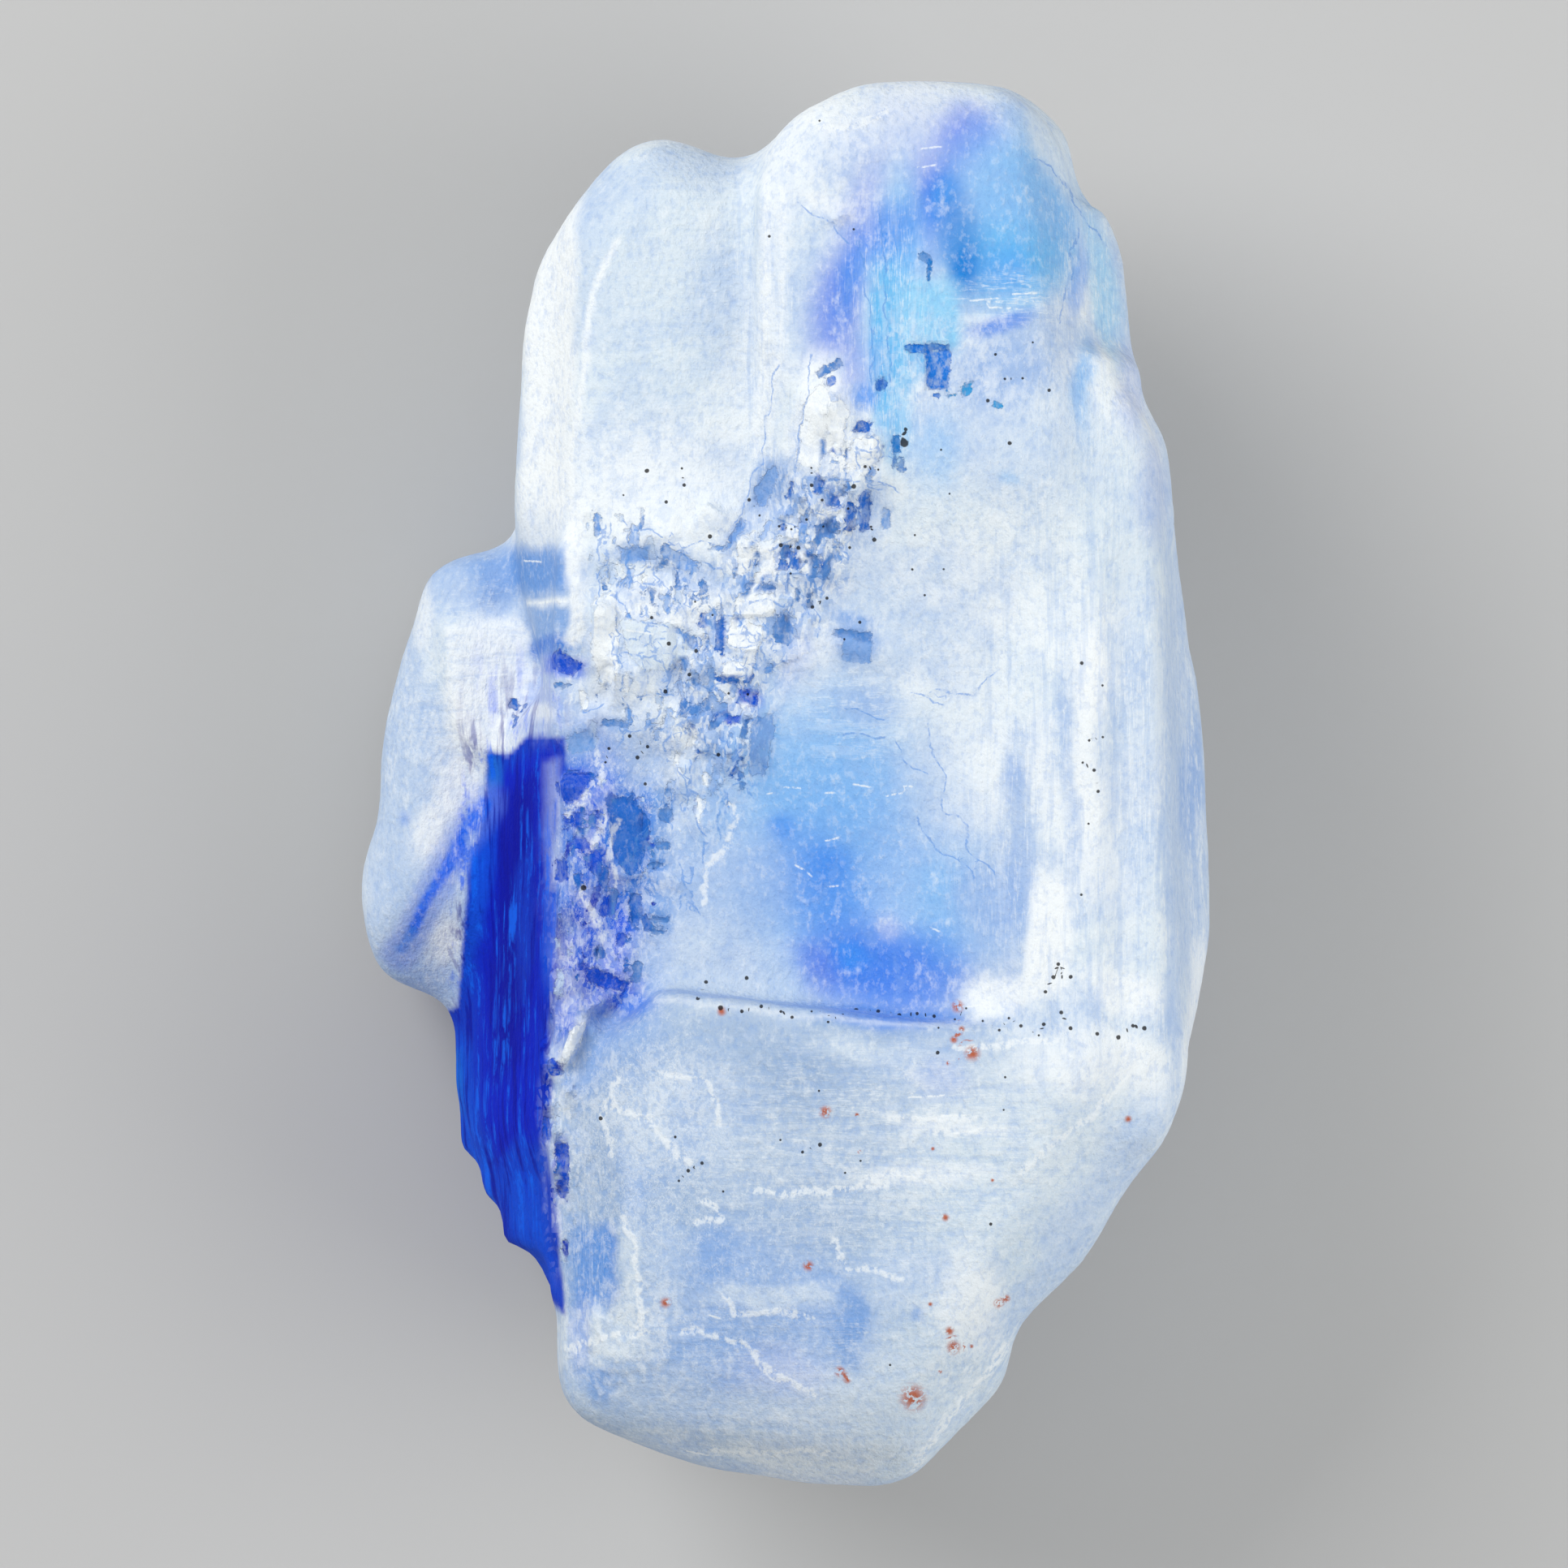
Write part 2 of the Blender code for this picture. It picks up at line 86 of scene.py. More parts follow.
def pixel_size(height):
    """Millimetres that one pixel covers at a height above the floor."""
    return PIXEL * (VIEW_RISE + FOCUS_HEIGHT - height) / VIEW_RISE


def spot(px, py, height):
    """The point, in mm, that a pixel of the photograph shows at that height."""
    size = pixel_size(height)
    middle = PHOTO_SIZE / 2
    return Vector((AIM[0] + (px - middle) * size, AIM[1] + (middle - py) * size, height))


print("camera rise, mm:", round(VIEW_RISE, 1))

# %% [markdown]
# The floor is a light grey, a little darker than the salt, so that the white edges show. It is
# only the stage and isn't part of the stone.

# %% Floor
FLOOR_WIDTH = 3000.0
FLOOR_SHADE = 0.50
FLOOR_ROUGHNESS = 0.8

bpy.ops.object.select_all(action="DESELECT")
bpy.ops.mesh.primitive_plane_add(size=FLOOR_WIDTH * MM, location=(0.0, 0.0, 0.0))
floor = bpy.context.object
floor.name = "floor"
floor_paint = bpy.data.materials.new("pale_floor_paint")
floor_paint.use_nodes = True
floor_shader = floor_paint.node_tree.nodes["Principled BSDF"]
floor_shader.inputs["Base Color"].default_value = (FLOOR_SHADE, FLOOR_SHADE, FLOOR_SHADE, 1.0)
floor_shader.inputs["Roughness"].default_value = FLOOR_ROUGHNESS
floor.data.materials.append(floor_paint)
print("floor shade:", FLOOR_SHADE)

# %% [markdown]
# Milky salt looks bright because light from all round scatters in it. A wide soft light from the
# upper left gives the forms a gentle side, a weaker one fills the right, and a pale surround does
# the rest. The surround is a touch warm, so that the white parts of the salt stay neutral.

# %% Lights
SOFT_LIGHTS = {           # place and size in mm, power in watts
    "key_light": ((-190.0, 150.0, 210.0), 200.0, 0.70),
    "fill_light": ((220.0, -60.0, 160.0), 220.0, 0.38),
}
SURROUND_TINT = (0.975, 0.98, 0.96, 1.0)
SURROUND_STRENGTH = 0.515

for name, (place, size, power) in SOFT_LIGHTS.items():
    light = bpy.data.objects.new(name, bpy.data.lights.new(name, "AREA"))
    light.data.size = size * MM
    light.data.energy = power
    light.location = Vector(place) * MM
    light.rotation_euler = (-Vector(place)).to_track_quat("-Z", "Y").to_euler()
    bpy.context.scene.collection.objects.link(light)

world = bpy.data.worlds.new("pale_surround")
world.use_nodes = True
background = world.node_tree.nodes["Background"]
background.inputs["Color"].default_value = SURROUND_TINT
background.inputs["Strength"].default_value = SURROUND_STRENGTH
bpy.context.scene.world = world
bpy.context.scene.view_settings.view_transform = "Standard"
print("lights:", len(SOFT_LIGHTS))

# %% [markdown]
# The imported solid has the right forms, but its faces are broad and flat. A copy of it is merged,
# because its triangles are loose, and a fine voxel remesh with a little smoothing gives it the
# even, rounded skin of salt that has been damp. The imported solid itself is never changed.

# %% The worn body
MERGE_GAP = 1e-6          # metres
BODY_GRAIN = 0.25
BODY_WEAR = 7             # rounds of smoothing


def hold_only(thing):
    """Deselect everything, then select one object and make it active."""
    bpy.ops.object.select_all(action="DESELECT")
    thing.select_set(True)
    bpy.context.view_layer.objects.active = thing


def work_in(thing, kind, name, **settings):
    """Adds one modifier with its settings and applies it."""
    hold_only(thing)
    modifier = thing.modifiers.new(name, kind)
    for setting, value in settings.items():
        setattr(modifier, setting, value)
    bpy.ops.object.modifier_apply(modifier=modifier.name)


def skinned(thing, grain, wear):
    """A new even skin over all closed shells of the object, worn by some rounds of smoothing."""
    work_in(thing, "REMESH", "skin", mode="VOXEL", voxel_size=grain * MM)
    work_in(thing, "SMOOTH", "wear", factor=0.5, iterations=wear)


stone = bpy.data.objects.new("halite_stone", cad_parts["halite"].data.copy())
bpy.context.scene.collection.objects.link(stone)
stone.data.materials.clear()
hold_only(stone)
bpy.ops.object.mode_set(mode="EDIT")
bpy.ops.mesh.select_all(action="SELECT")
bpy.ops.mesh.remove_doubles(threshold=MERGE_GAP)
bpy.ops.object.mode_set(mode="OBJECT")
skinned(stone, BODY_GRAIN, BODY_WEAR)
print("worn body, faces:", len(stone.data.polygons))

# %% [markdown]
# Where the stone broke, salt comes off in small bricks. Three shapes are enough: a flat brick, a
# wedge that was split a second time at a slant, and a splinter. Each is modelled once in edit
# mode, from a cube that is split by a plane and has its edges worn by a small bevel.

# %% Three cleavage chips
CHIP_WEAR = 0.03          # of the size of the cube


def chip(name, splits):
    """A unit cube, split by slanted planes, with its edges worn."""
    bpy.ops.object.select_all(action="DESELECT")
    bpy.ops.mesh.primitive_cube_add(size=1.0)
    made = bpy.context.object
    made.name = name
    bpy.ops.object.mode_set(mode="EDIT")
    for point, normal in splits:
        bpy.ops.mesh.select_all(action="SELECT")
        bpy.ops.mesh.bisect(plane_co=point, plane_no=normal, use_fill=True, clear_outer=True)
    bpy.ops.mesh.select_all(action="SELECT")
    bpy.ops.mesh.bevel(offset=CHIP_WEAR, segments=1)
    bpy.ops.mesh.select_all(action="SELECT")
    bpy.ops.mesh.normals_make_consistent(inside=False)
    bpy.ops.object.mode_set(mode="OBJECT")
    return made


chips = [
    chip("flat_chip", [((0.35, 0.35, 0.5), (0.5, 0.6, 0.62))]),
    chip("wedge_chip", [((0.0, 0.0, 0.36), (-0.45, 0.20, 0.87)),
                        ((0.4, -0.3, 0.4), (0.8, -0.4, 0.4))]),
    chip("splinter_chip", [((0.1, 0.0, 0.42), (0.55, 0.05, 0.83)),
                           ((0.0, -0.3, 0.4), (0.0, -0.7, 0.7))]),
]
print("chip shapes:", [made.name for made in chips])

# %% [markdown]
# The largest chips are placed one by one, where the photograph shows them: pixel column and row,
# width and length in pixels, how far the chip stands proud in mm, and its turn in degrees. Small
# ones are strewn along the broken bands. One band runs down between the two upper lobes and on
# beside the blue rib, the other lies to the left of it. A band is a line of points, each with
# the half width of the band there.

# %% Places of the chips
LARGE_CHIPS = [
    (994, 530, 34, 92, 0.22, 10, "wedge_chip"), (1027, 520, 24, 66, 0.28, 6, "splinter_chip"),
    (1066, 548, 34, 26, 0.28, -3, "flat_chip"), (1046, 588, 30, 30, 0.20, 8, "wedge_chip"),
    (1022, 636, 30, 15, 0.25, -14, "wedge_chip"), (1003, 668, 26, 22, 0.22, 20, "flat_chip"),
    (975, 640, 34, 44, 0.14, 24, "flat_chip"), (931, 676, 30, 30, 0.22, 4, "flat_chip"),
    (932, 745, 46, 26, 0.26, -4, "wedge_chip"), (917, 787, 44, 34, 0.26, 12, "wedge_chip"),
    (905, 826, 34, 16, 0.28, 4, "flat_chip"), (960, 780, 20, 44, 0.16, 10, "splinter_chip"),
    (820, 742, 86, 34, 0.24, 3, "wedge_chip"), (800, 796, 62, 44, 0.28, -26, "wedge_chip"),
    (746, 790, 30, 104, 0.30, 2, "splinter_chip"), (876, 642, 36, 46, 0.24, 30, "flat_chip"),
    (768, 872, 52, 30, 0.16, 2, "wedge_chip"), (716, 882, 40, 26, 0.24, 4, "wedge_chip"),
    (846, 900, 40, 60, 0.18, 8, "splinter_chip"), (905, 930, 22, 76, 0.22, 9, "splinter_chip"),
    (708, 970, 34, 34, 0.14, -4, "flat_chip"), (768, 1030, 52, 84, 0.14, -6, "flat_chip"),
    (732, 1062, 26, 40, 0.18, 10, "wedge_chip"), (810, 1034, 22, 50, 0.16, -3, "flat_chip"),
    (812, 1134, 24, 56, 0.16, -3, "flat_chip"), (696, 1130, 18, 70, 0.22, 0, "splinter_chip"),
    (742, 1208, 60, 38, 0.22, -6, "wedge_chip"), (706, 1288, 22, 62, 0.45, 16, "splinter_chip"),
    (690, 1216, 16, 56, 0.28, 6, "splinter_chip"), (1018, 262, 46, 18, 0.24, 24, "wedge_chip"),
    (760, 1640, 70, 50, 0.14, 6, "wedge_chip"),
]
BROKEN_BAND = [
    (1062, 540, 30), (1020, 610, 52), (985, 680, 58), (935, 740, 66), (895, 800, 60),
    (885, 860, 50), (880, 930, 46), (850, 1000, 60), (800, 1080, 66), (745, 1160, 52),
    (715, 1230, 34), (700, 1330, 18), (694, 1440, 14),
]
SIDE_BAND = [(760, 640, 40), (790, 700, 60), (830, 750, 60), (800, 820, 70), (770, 900, 60)]


def along_band(band, share):
    """The point and half width at a share of the band's length."""
    step = share * (len(band) - 1)
    index = min(int(step), len(band) - 2)
    part = step - index
    return [a + (b - a) * part for a, b in zip(band[index], band[index + 1])]


print("large chips:", len(LARGE_CHIPS))

# %% [markdown]
# The dice that strew the small chips have a fixed seed, so each run gives the same stone. Few
# chips are large, because the square of a random number is mostly small.

# %% Strew the small chips
CHIP_SEED = 7
CHIP_TURNS = (-4, 12, 20)     # degrees, the ways in which the salt split
dice = random.Random(CHIP_SEED)


def strewn(band, count, smallest, largest, proud):
    """Random small chips along a band."""
    rows = []
    for _ in range(count):
        x, y, half = along_band(band, dice.random())
        width = smallest + (largest - smallest) * dice.random() ** 2
        length = width * dice.uniform(0.7, 2.2)
        turn = dice.choice(CHIP_TURNS) + dice.uniform(-8, 8)
        kind = dice.choice(chips).name
        rows.append((x + dice.uniform(-half, half), y + dice.uniform(-12, 12), width, length,
                     dice.uniform(0.3, 1.0) * proud, turn, kind))
    return rows


chip_rows = (LARGE_CHIPS
             + strewn(BROKEN_BAND, count=110, smallest=9, largest=40, proud=0.20)
             + strewn(SIDE_BAND, count=40, smallest=12, largest=44, proud=0.16))
print("chips to set in:", len(chip_rows))

# %% [markdown]
# A ray from above finds the skin at each place. The chip leans as the skin does there, and most
# of it is sunk, so that it looks grown in and not laid on. The chips are then joined to the stone.

# %% Set the chips into the stone
CHIP_DEPTH = 1.6
FRONT_HEIGHT = 19.0       # near enough to find where a pixel lies
ABOVE_ALL = 100.0
DOWN = Vector((0.0, 0.0, -1.0))


def set_in(row, skin):
    """One chip, copied, sized, turned and sunk in the stone's skin."""
    px, py, width, length, proud, turn, kind = row
    start = spot(px, py, FRONT_HEIGHT)
    start.z = ABOVE_ALL
    place, normal, _, _ = skin.ray_cast(start * MM, DOWN)
    if place is None:
        return None
    height = place.z / MM
    size = pixel_size(height)
    made = bpy.data.objects.new("set_chip", bpy.data.objects[kind].data.copy())
    bpy.context.scene.collection.objects.link(made)
    made.scale = (width * size * MM, length * size * MM, CHIP_DEPTH * MM)
    lean = normal.to_track_quat("Z", "Y").to_euler()
    made.rotation_euler = (lean.x, lean.y, math.radians(-turn))
    made.location = spot(px, py, height + proud - CHIP_DEPTH / 2) * MM
    return made


bpy.context.view_layer.update()
body_skin = BVHTree.FromObject(stone, bpy.context.evaluated_depsgraph_get())
set_chips = [made for made in (set_in(row, body_skin) for row in chip_rows) if made]
for made in chips:
    bpy.data.objects.remove(made)
hold_only(stone)
for made in set_chips:
    made.select_set(True)
bpy.ops.object.join()
print("chips set in:", len(set_chips))

# %% [markdown]
# A finer remesh grows the chips and the stone together. Its cell is a few pixels of the
# photograph, so that small steps stay sharp.

# %% The fine skin
FINE_GRAIN = 0.18
skinned(stone, FINE_GRAIN, 1)
print("fine skin, faces:", len(stone.data.polygons))

# %% [markdown]
# Patterns and colours follow the photograph, so each vertex has to know in which pixel it is
# seen. What it learns is kept on the mesh as attributes, one number or one vector for each
# vertex, and the nodes read them later.

# %% Read and write the skin
SIDE_FADE = (5.0, 8.0)    # mm, the heights between which the patterns of the front fade out


def points_of(mesh):
    """Vertex places in mm, and vertex normals."""
    count = len(mesh.vertices)
    places = np.empty(count * 3)
    mesh.vertices.foreach_get("co", places)
    normals = np.empty(count * 3)
    mesh.vertices.foreach_get("normal", normals)
    return places.reshape(-1, 3) / MM, normals.reshape(-1, 3)


def in_photo(points):
    """The pixel of the photograph in which each point is seen."""
    size = pixel_size(points[:, 2])
    across = PHOTO_SIZE / 2 + (points[:, 0] - AIM[0]) / size
    down = PHOTO_SIZE / 2 - (points[:, 1] - AIM[1]) / size
    return np.stack((across, down), axis=1)


def smooth(values, start, end):
    """Zero at start, one at end, with a soft run between them."""
    part = np.clip((values - start) / (end - start), 0.0, 1.0)
    return part * part * (3.0 - 2.0 * part)


def on_front(points, normals, start, end):
    """One on the front of the stone, where the skin faces up, and zero on the sides and back."""
    return smooth(normals[:, 2], start, end) * smooth(points[:, 2], *SIDE_FADE)


def keep(mesh, name, values):
    """Writes one number or one vector for each vertex on the mesh."""
    kind, slot = ("FLOAT", "value") if values.ndim == 1 else ("FLOAT_VECTOR", "vector")
    made = mesh.attributes.get(name) or mesh.attributes.new(name, kind, "POINT")
    made.data.foreach_set(slot, np.ascontiguousarray(values, dtype=np.float32).ravel())


print("vertices on the skin:", len(stone.data.vertices))

# %% [markdown]
# A zone is an ellipse on the front of the stone: its middle and half size in pixels, its turn in
# degrees, how strong it is and how soft its edge is. A zone with a hard edge is squarer, as
# cleavage is. The places are moved a little by noise first, so that no edge is a plain curve.

# %% Zones
NOISE_SEED = 7            # without a seed the noise starts from the clock
ZONE_WANDER = (3.0, 14.0, 3)  # grain in mm, reach in pixels, octaves
noise.seed_set(NOISE_SEED)


def wandered(points, grain, reach, octaves):
    """A noise vector at each point: grain in mm, reach in pixels."""
    moved = [noise.turbulence_vector(Vector(p) / grain, octaves, False) for p in points]
    return (np.array(moved) - np.mean(moved, axis=0)) * reach


def wandering_places(points, wander):
    """The pixels in which the points are seen, moved by noise."""
    return in_photo(points) + wandered(points, *wander)[:, :2]


def zone_share(seen, x, y, half_x, half_y, turn, soft):
    """How much of each point lies in a zone."""
    angle = math.radians(turn)
    across, down = seen[:, 0] - x, seen[:, 1] - y
    u = (across * math.cos(angle) + down * math.sin(angle)) / half_x
    v = (down * math.cos(angle) - across * math.sin(angle)) / half_y
    power = 2.0 if soft > 0.4 else 5.0
    far = (np.abs(u) ** power + np.abs(v) ** power) ** (1.0 / power)
    return smooth(far, 1.0 + soft, 1.0 - soft)


def zones_at(seen, zones):
    """The strongest share of all zones at each point."""
    amount = np.zeros(len(seen))
    for x, y, half_x, half_y, turn, strength, soft in zones:
        share = strength * zone_share(seen, x, y, half_x, half_y, turn, soft)
        amount = np.maximum(amount, share)
    return amount


print("zone edges wander by up to, pixels:", ZONE_WANDER[1])

# %% [markdown]
# Four kinds of zone say what the relief is: broken to a mosaic, worn to low terraces, or lined
# by growth, across the stone or along it.

# %% Zones of relief
SEEN_UNIT = 100.0         # pixels
RELIEF_ZONES = {
    "broken": [
        (1030, 560, 60, 70, 20, 0.7, 0.5), (1000, 650, 60, 80, 25, 1.0, 0.4),
        (940, 740, 75, 90, 20, 1.0, 0.4), (890, 850, 70, 90, 10, 0.9, 0.4),
        (850, 980, 70, 110, 20, 0.4, 0.5), (770, 1060, 80, 120, 10, 0.45, 0.5),
        (740, 1200, 60, 60, 0, 0.5, 0.4), (800, 760, 90, 110, 0, 0.5, 0.5),
        (1160, 450, 70, 60, 0, 0.35, 0.4), (700, 1400, 26, 160, 0, 0.5, 0.5),
        (690, 850, 40, 60, 0, 0.5, 0.5),
    ],
    "terraced": [
        (1020, 210, 90, 110, 0, 0.9, 0.5), (820, 600, 140, 90, 0, 0.5, 0.5),
        (900, 360, 60, 120, 0, 0.4, 0.6), (1230, 440, 90, 70, 0, 0.6, 0.5),
        (760, 860, 110, 180, 0, 0.6, 0.5), (790, 1400, 110, 120, 0, 0.6, 0.6),
        (760, 1650, 90, 70, 0, 0.8, 0.5), (1330, 1480, 110, 200, 32, 0.7, 0.5),
        (1180, 980, 70, 160, -20, 0.5, 0.5), (1180, 1760, 120, 60, -45, 0.8, 0.5),
        (1340, 330, 60, 180, 0, 0.5, 0.5), (590, 850, 80, 100, 0, 0.3, 0.5),
    ],
    "lined_across": [
        (860, 420, 140, 240, 0, 0.4, 0.5), (590, 840, 110, 120, 0, 0.7, 0.5),
        (1100, 1420, 260, 140, 0, 0.8, 0.5), (1000, 1700, 260, 110, 0, 0.5, 0.5),
        (1060, 880, 70, 60, 4, 0.7, 0.5), (1240, 370, 60, 30, 0, 1.0, 0.4),
    ],
    "lined_along": [
        (1330, 950, 150, 380, -2, 0.9, 0.5), (1462, 1100, 40, 360, 0, 1.0, 0.4),
        (640, 1200, 90, 320, 2, 0.7, 0.4), (940, 420, 40, 230, 0, 0.9, 0.4),
        (1090, 420, 60, 190, 0, 0.8, 0.5), (720, 1500, 40, 160, 0, 0.7, 0.5),
        (1350, 420, 60, 200, -6, 0.8, 0.5),
    ],
}


def keep_places(mesh, points):
    """Keeps in which pixel each vertex is seen, in hundreds, and its height in mm."""
    keep(mesh, "seen_place", np.hstack((in_photo(points) / SEEN_UNIT, points[:, 2:3])))


def write_relief_zones(mesh):
    """Turns the relief zones to vertex attributes."""
    points, normals = points_of(mesh)
    seen = wandering_places(points, ZONE_WANDER)
    front = on_front(points, normals, 0.1, 0.5)
    for name, zones in RELIEF_ZONES.items():
        keep(mesh, name, zones_at(seen, zones) * front)
    keep_places(mesh, points)


write_relief_zones(stone.data)
print("kinds of zone:", len(RELIEF_ZONES))

# %% [markdown]
# Pure salt has no colour. The blue sits in spots where the crystal lattice was disturbed, so it
# forms soft clouds and streaks that ignore the steps of the surface. A small palette is enough:
# each name below is a colour that the salt shows somewhere, from milk white to ink blue.

# %% Palette
HEX_CODES = {
    "white": "#F4F9FC", "milk": "#DDE9F3", "pearl": "#CCDCEA", "fog": "#A0B8D8", "haze": "#BCD0EC",
    "lilac": "#B0C0EE", "mist": "#9CBAE8", "grey_blue": "#7AA4E0", "slate": "#5490DE",
    "steel": "#2070D8", "ice": "#90D0F6", "sky": "#84BCF2", "cyan": "#50B4F0", "teal": "#1480D8",
    "azure": "#3E92F4", "cornflower": "#4484EA", "violet": "#6486EA", "royal": "#0854E0",
    "cobalt": "#0A3AC4", "ultramarine": "#001AC6", "ink": "#00089C", "rust": "#B85C34",
    "dirt": "#17120F", "deep_teal": "#1480EA", "bright_cyan": "#2EA4EA", "bright_royal": "#0A66F4",
}


def colour(code):
    """Linear colour of an sRGB hex code."""
    parts = [int(code[place:place + 2], 16) / 255 for place in (1, 3, 5)]
    return [c / 12.92 if c <= 0.04045 else ((c + 0.055) / 1.055) ** 2.4 for c in parts]


PALETTE = {name: colour(code) for name, code in HEX_CODES.items()}
print("colours:", len(PALETTE))

# %% [markdown]
# Cleavage facets have straight, crisp edges, finer than the mesh. So each vertex keeps its
# distance in pixels to the edge of the nearest facet, below zero inside it. The material draws
# the edge where that distance passes zero, and it comes out sharp between the vertices too. Each
# facet is a colour that shows through it, how far it is sunk in the skin in mm, and a convex
# outline of pixels. Most outlines are boxes, because salt splits square.

# %% Facets of the upper half
def box(x, y, half_x, half_y, turn=0.0):
    """The corners of a turned box."""
    angle = math.radians(turn)
    along = (math.cos(angle), math.sin(angle))
    corners = [(-1, -1), (1, -1), (1, 1), (-1, 1)]
    return [
        (x + a * half_x * along[0] - b * half_y * along[1],
         y + a * half_x * along[1] + b * half_y * along[0]) for a, b in corners
    ]


UPPER_FACETS = [
    ("deep_teal", 0.15, box(1143, 429, 27, 5)), ("deep_teal", 0.20, box(1156, 455, 14, 24, 1)),
    ("deep_teal", 0.10, box(1154, 488, 4.5, 3)), ("steel", 0.12, box(1086, 473, 6, 9)),
    ("steel", 0.15, [(1054, 518), (1076, 520), (1072, 534), (1051, 532)]),
    ("bright_cyan", 0.1, [(1186, 474), (1200, 470), (1212, 476), (1206, 484), (1196, 486),
        (1192, 500), (1184, 502), (1182, 488)]),
    ("bright_cyan", 0.1, box(1171, 487, 4, 4)), ("bright_cyan", 0.0, box(1230, 500, 6, 4, 20)),
    ("teal", 0.1, box(1104, 547, 5, 10)), ("teal", 0.05, box(1140, 316, 6, 6, 10)),
    ("teal", 0.05, box(1145, 334, 4, 14, 4)), ("slate", 0.1, box(1102, 570, 3, 6)),
    ("slate", 0.1, box(1111, 573, 4, 9)), ("steel", 0.15, box(1047, 637, 5, 19, 6)),
    ("steel", 0.12, box(1066, 634, 6, 20, 5)), ("grey_blue", 0.1, box(1092, 640, 5, 12, 4)),
    ("slate", 0.1, box(1022, 454, 17, 5, -26)), ("cornflower", 0.1, box(1024, 470, 6, 5, -26)),
    ("white", -0.06, [(982, 572), (990, 500), (1012, 470), (1022, 486), (1010, 580)]),
    ("white", -0.06, [(1018, 500), (1036, 492), (1046, 504), (1036, 556), (1018, 556)]),
    ("white", -0.06, [(1050, 540), (1084, 538), (1086, 560), (1070, 574), (1046, 570)]),
    ("steel", 0.12, box(1028, 618, 8, 7, 10)), ("slate", 0.1, box(1019, 652, 15, 8, -16)),
    ("steel", 0.1, [(964, 676), (984, 682), (986, 690), (972, 688)]),
    ("steel", 0.1, [(972, 694), (992, 691), (988, 700), (976, 702)]),
    ("slate", 0.12, box(1003, 698, 5, 14, 6)), ("slate", 0.1, box(1018, 702, 4, 13, 4)),
    ("white", -0.08, [(1004, 632), (1034, 624), (1038, 630), (1010, 642)]),
    ("grey_blue", 0.1, [(930, 600), (952, 574), (960, 582), (944, 624), (932, 622)]),
    ("grey_blue", 0.1, box(908, 656, 5, 18, 30)), ("grey_blue", 0.1, box(886, 675, 13, 3, 6)),
    ("white", -0.06, [(908, 662), (930, 656), (926, 700), (910, 712)]),
    ("white", -0.05, [(934, 668), (952, 664), (956, 706), (938, 712)]),
    ("slate", 0.1, box(930, 688, 3, 9)), ("slate", 0.08, box(938, 723, 19, 4, 9)),
]
print("facets of the upper half:", len(UPPER_FACETS))

# %% [markdown]
# The lower facets lie in the middle of the band, on the left lobe and on the crest of the rib,
# where they are the deepest blue.

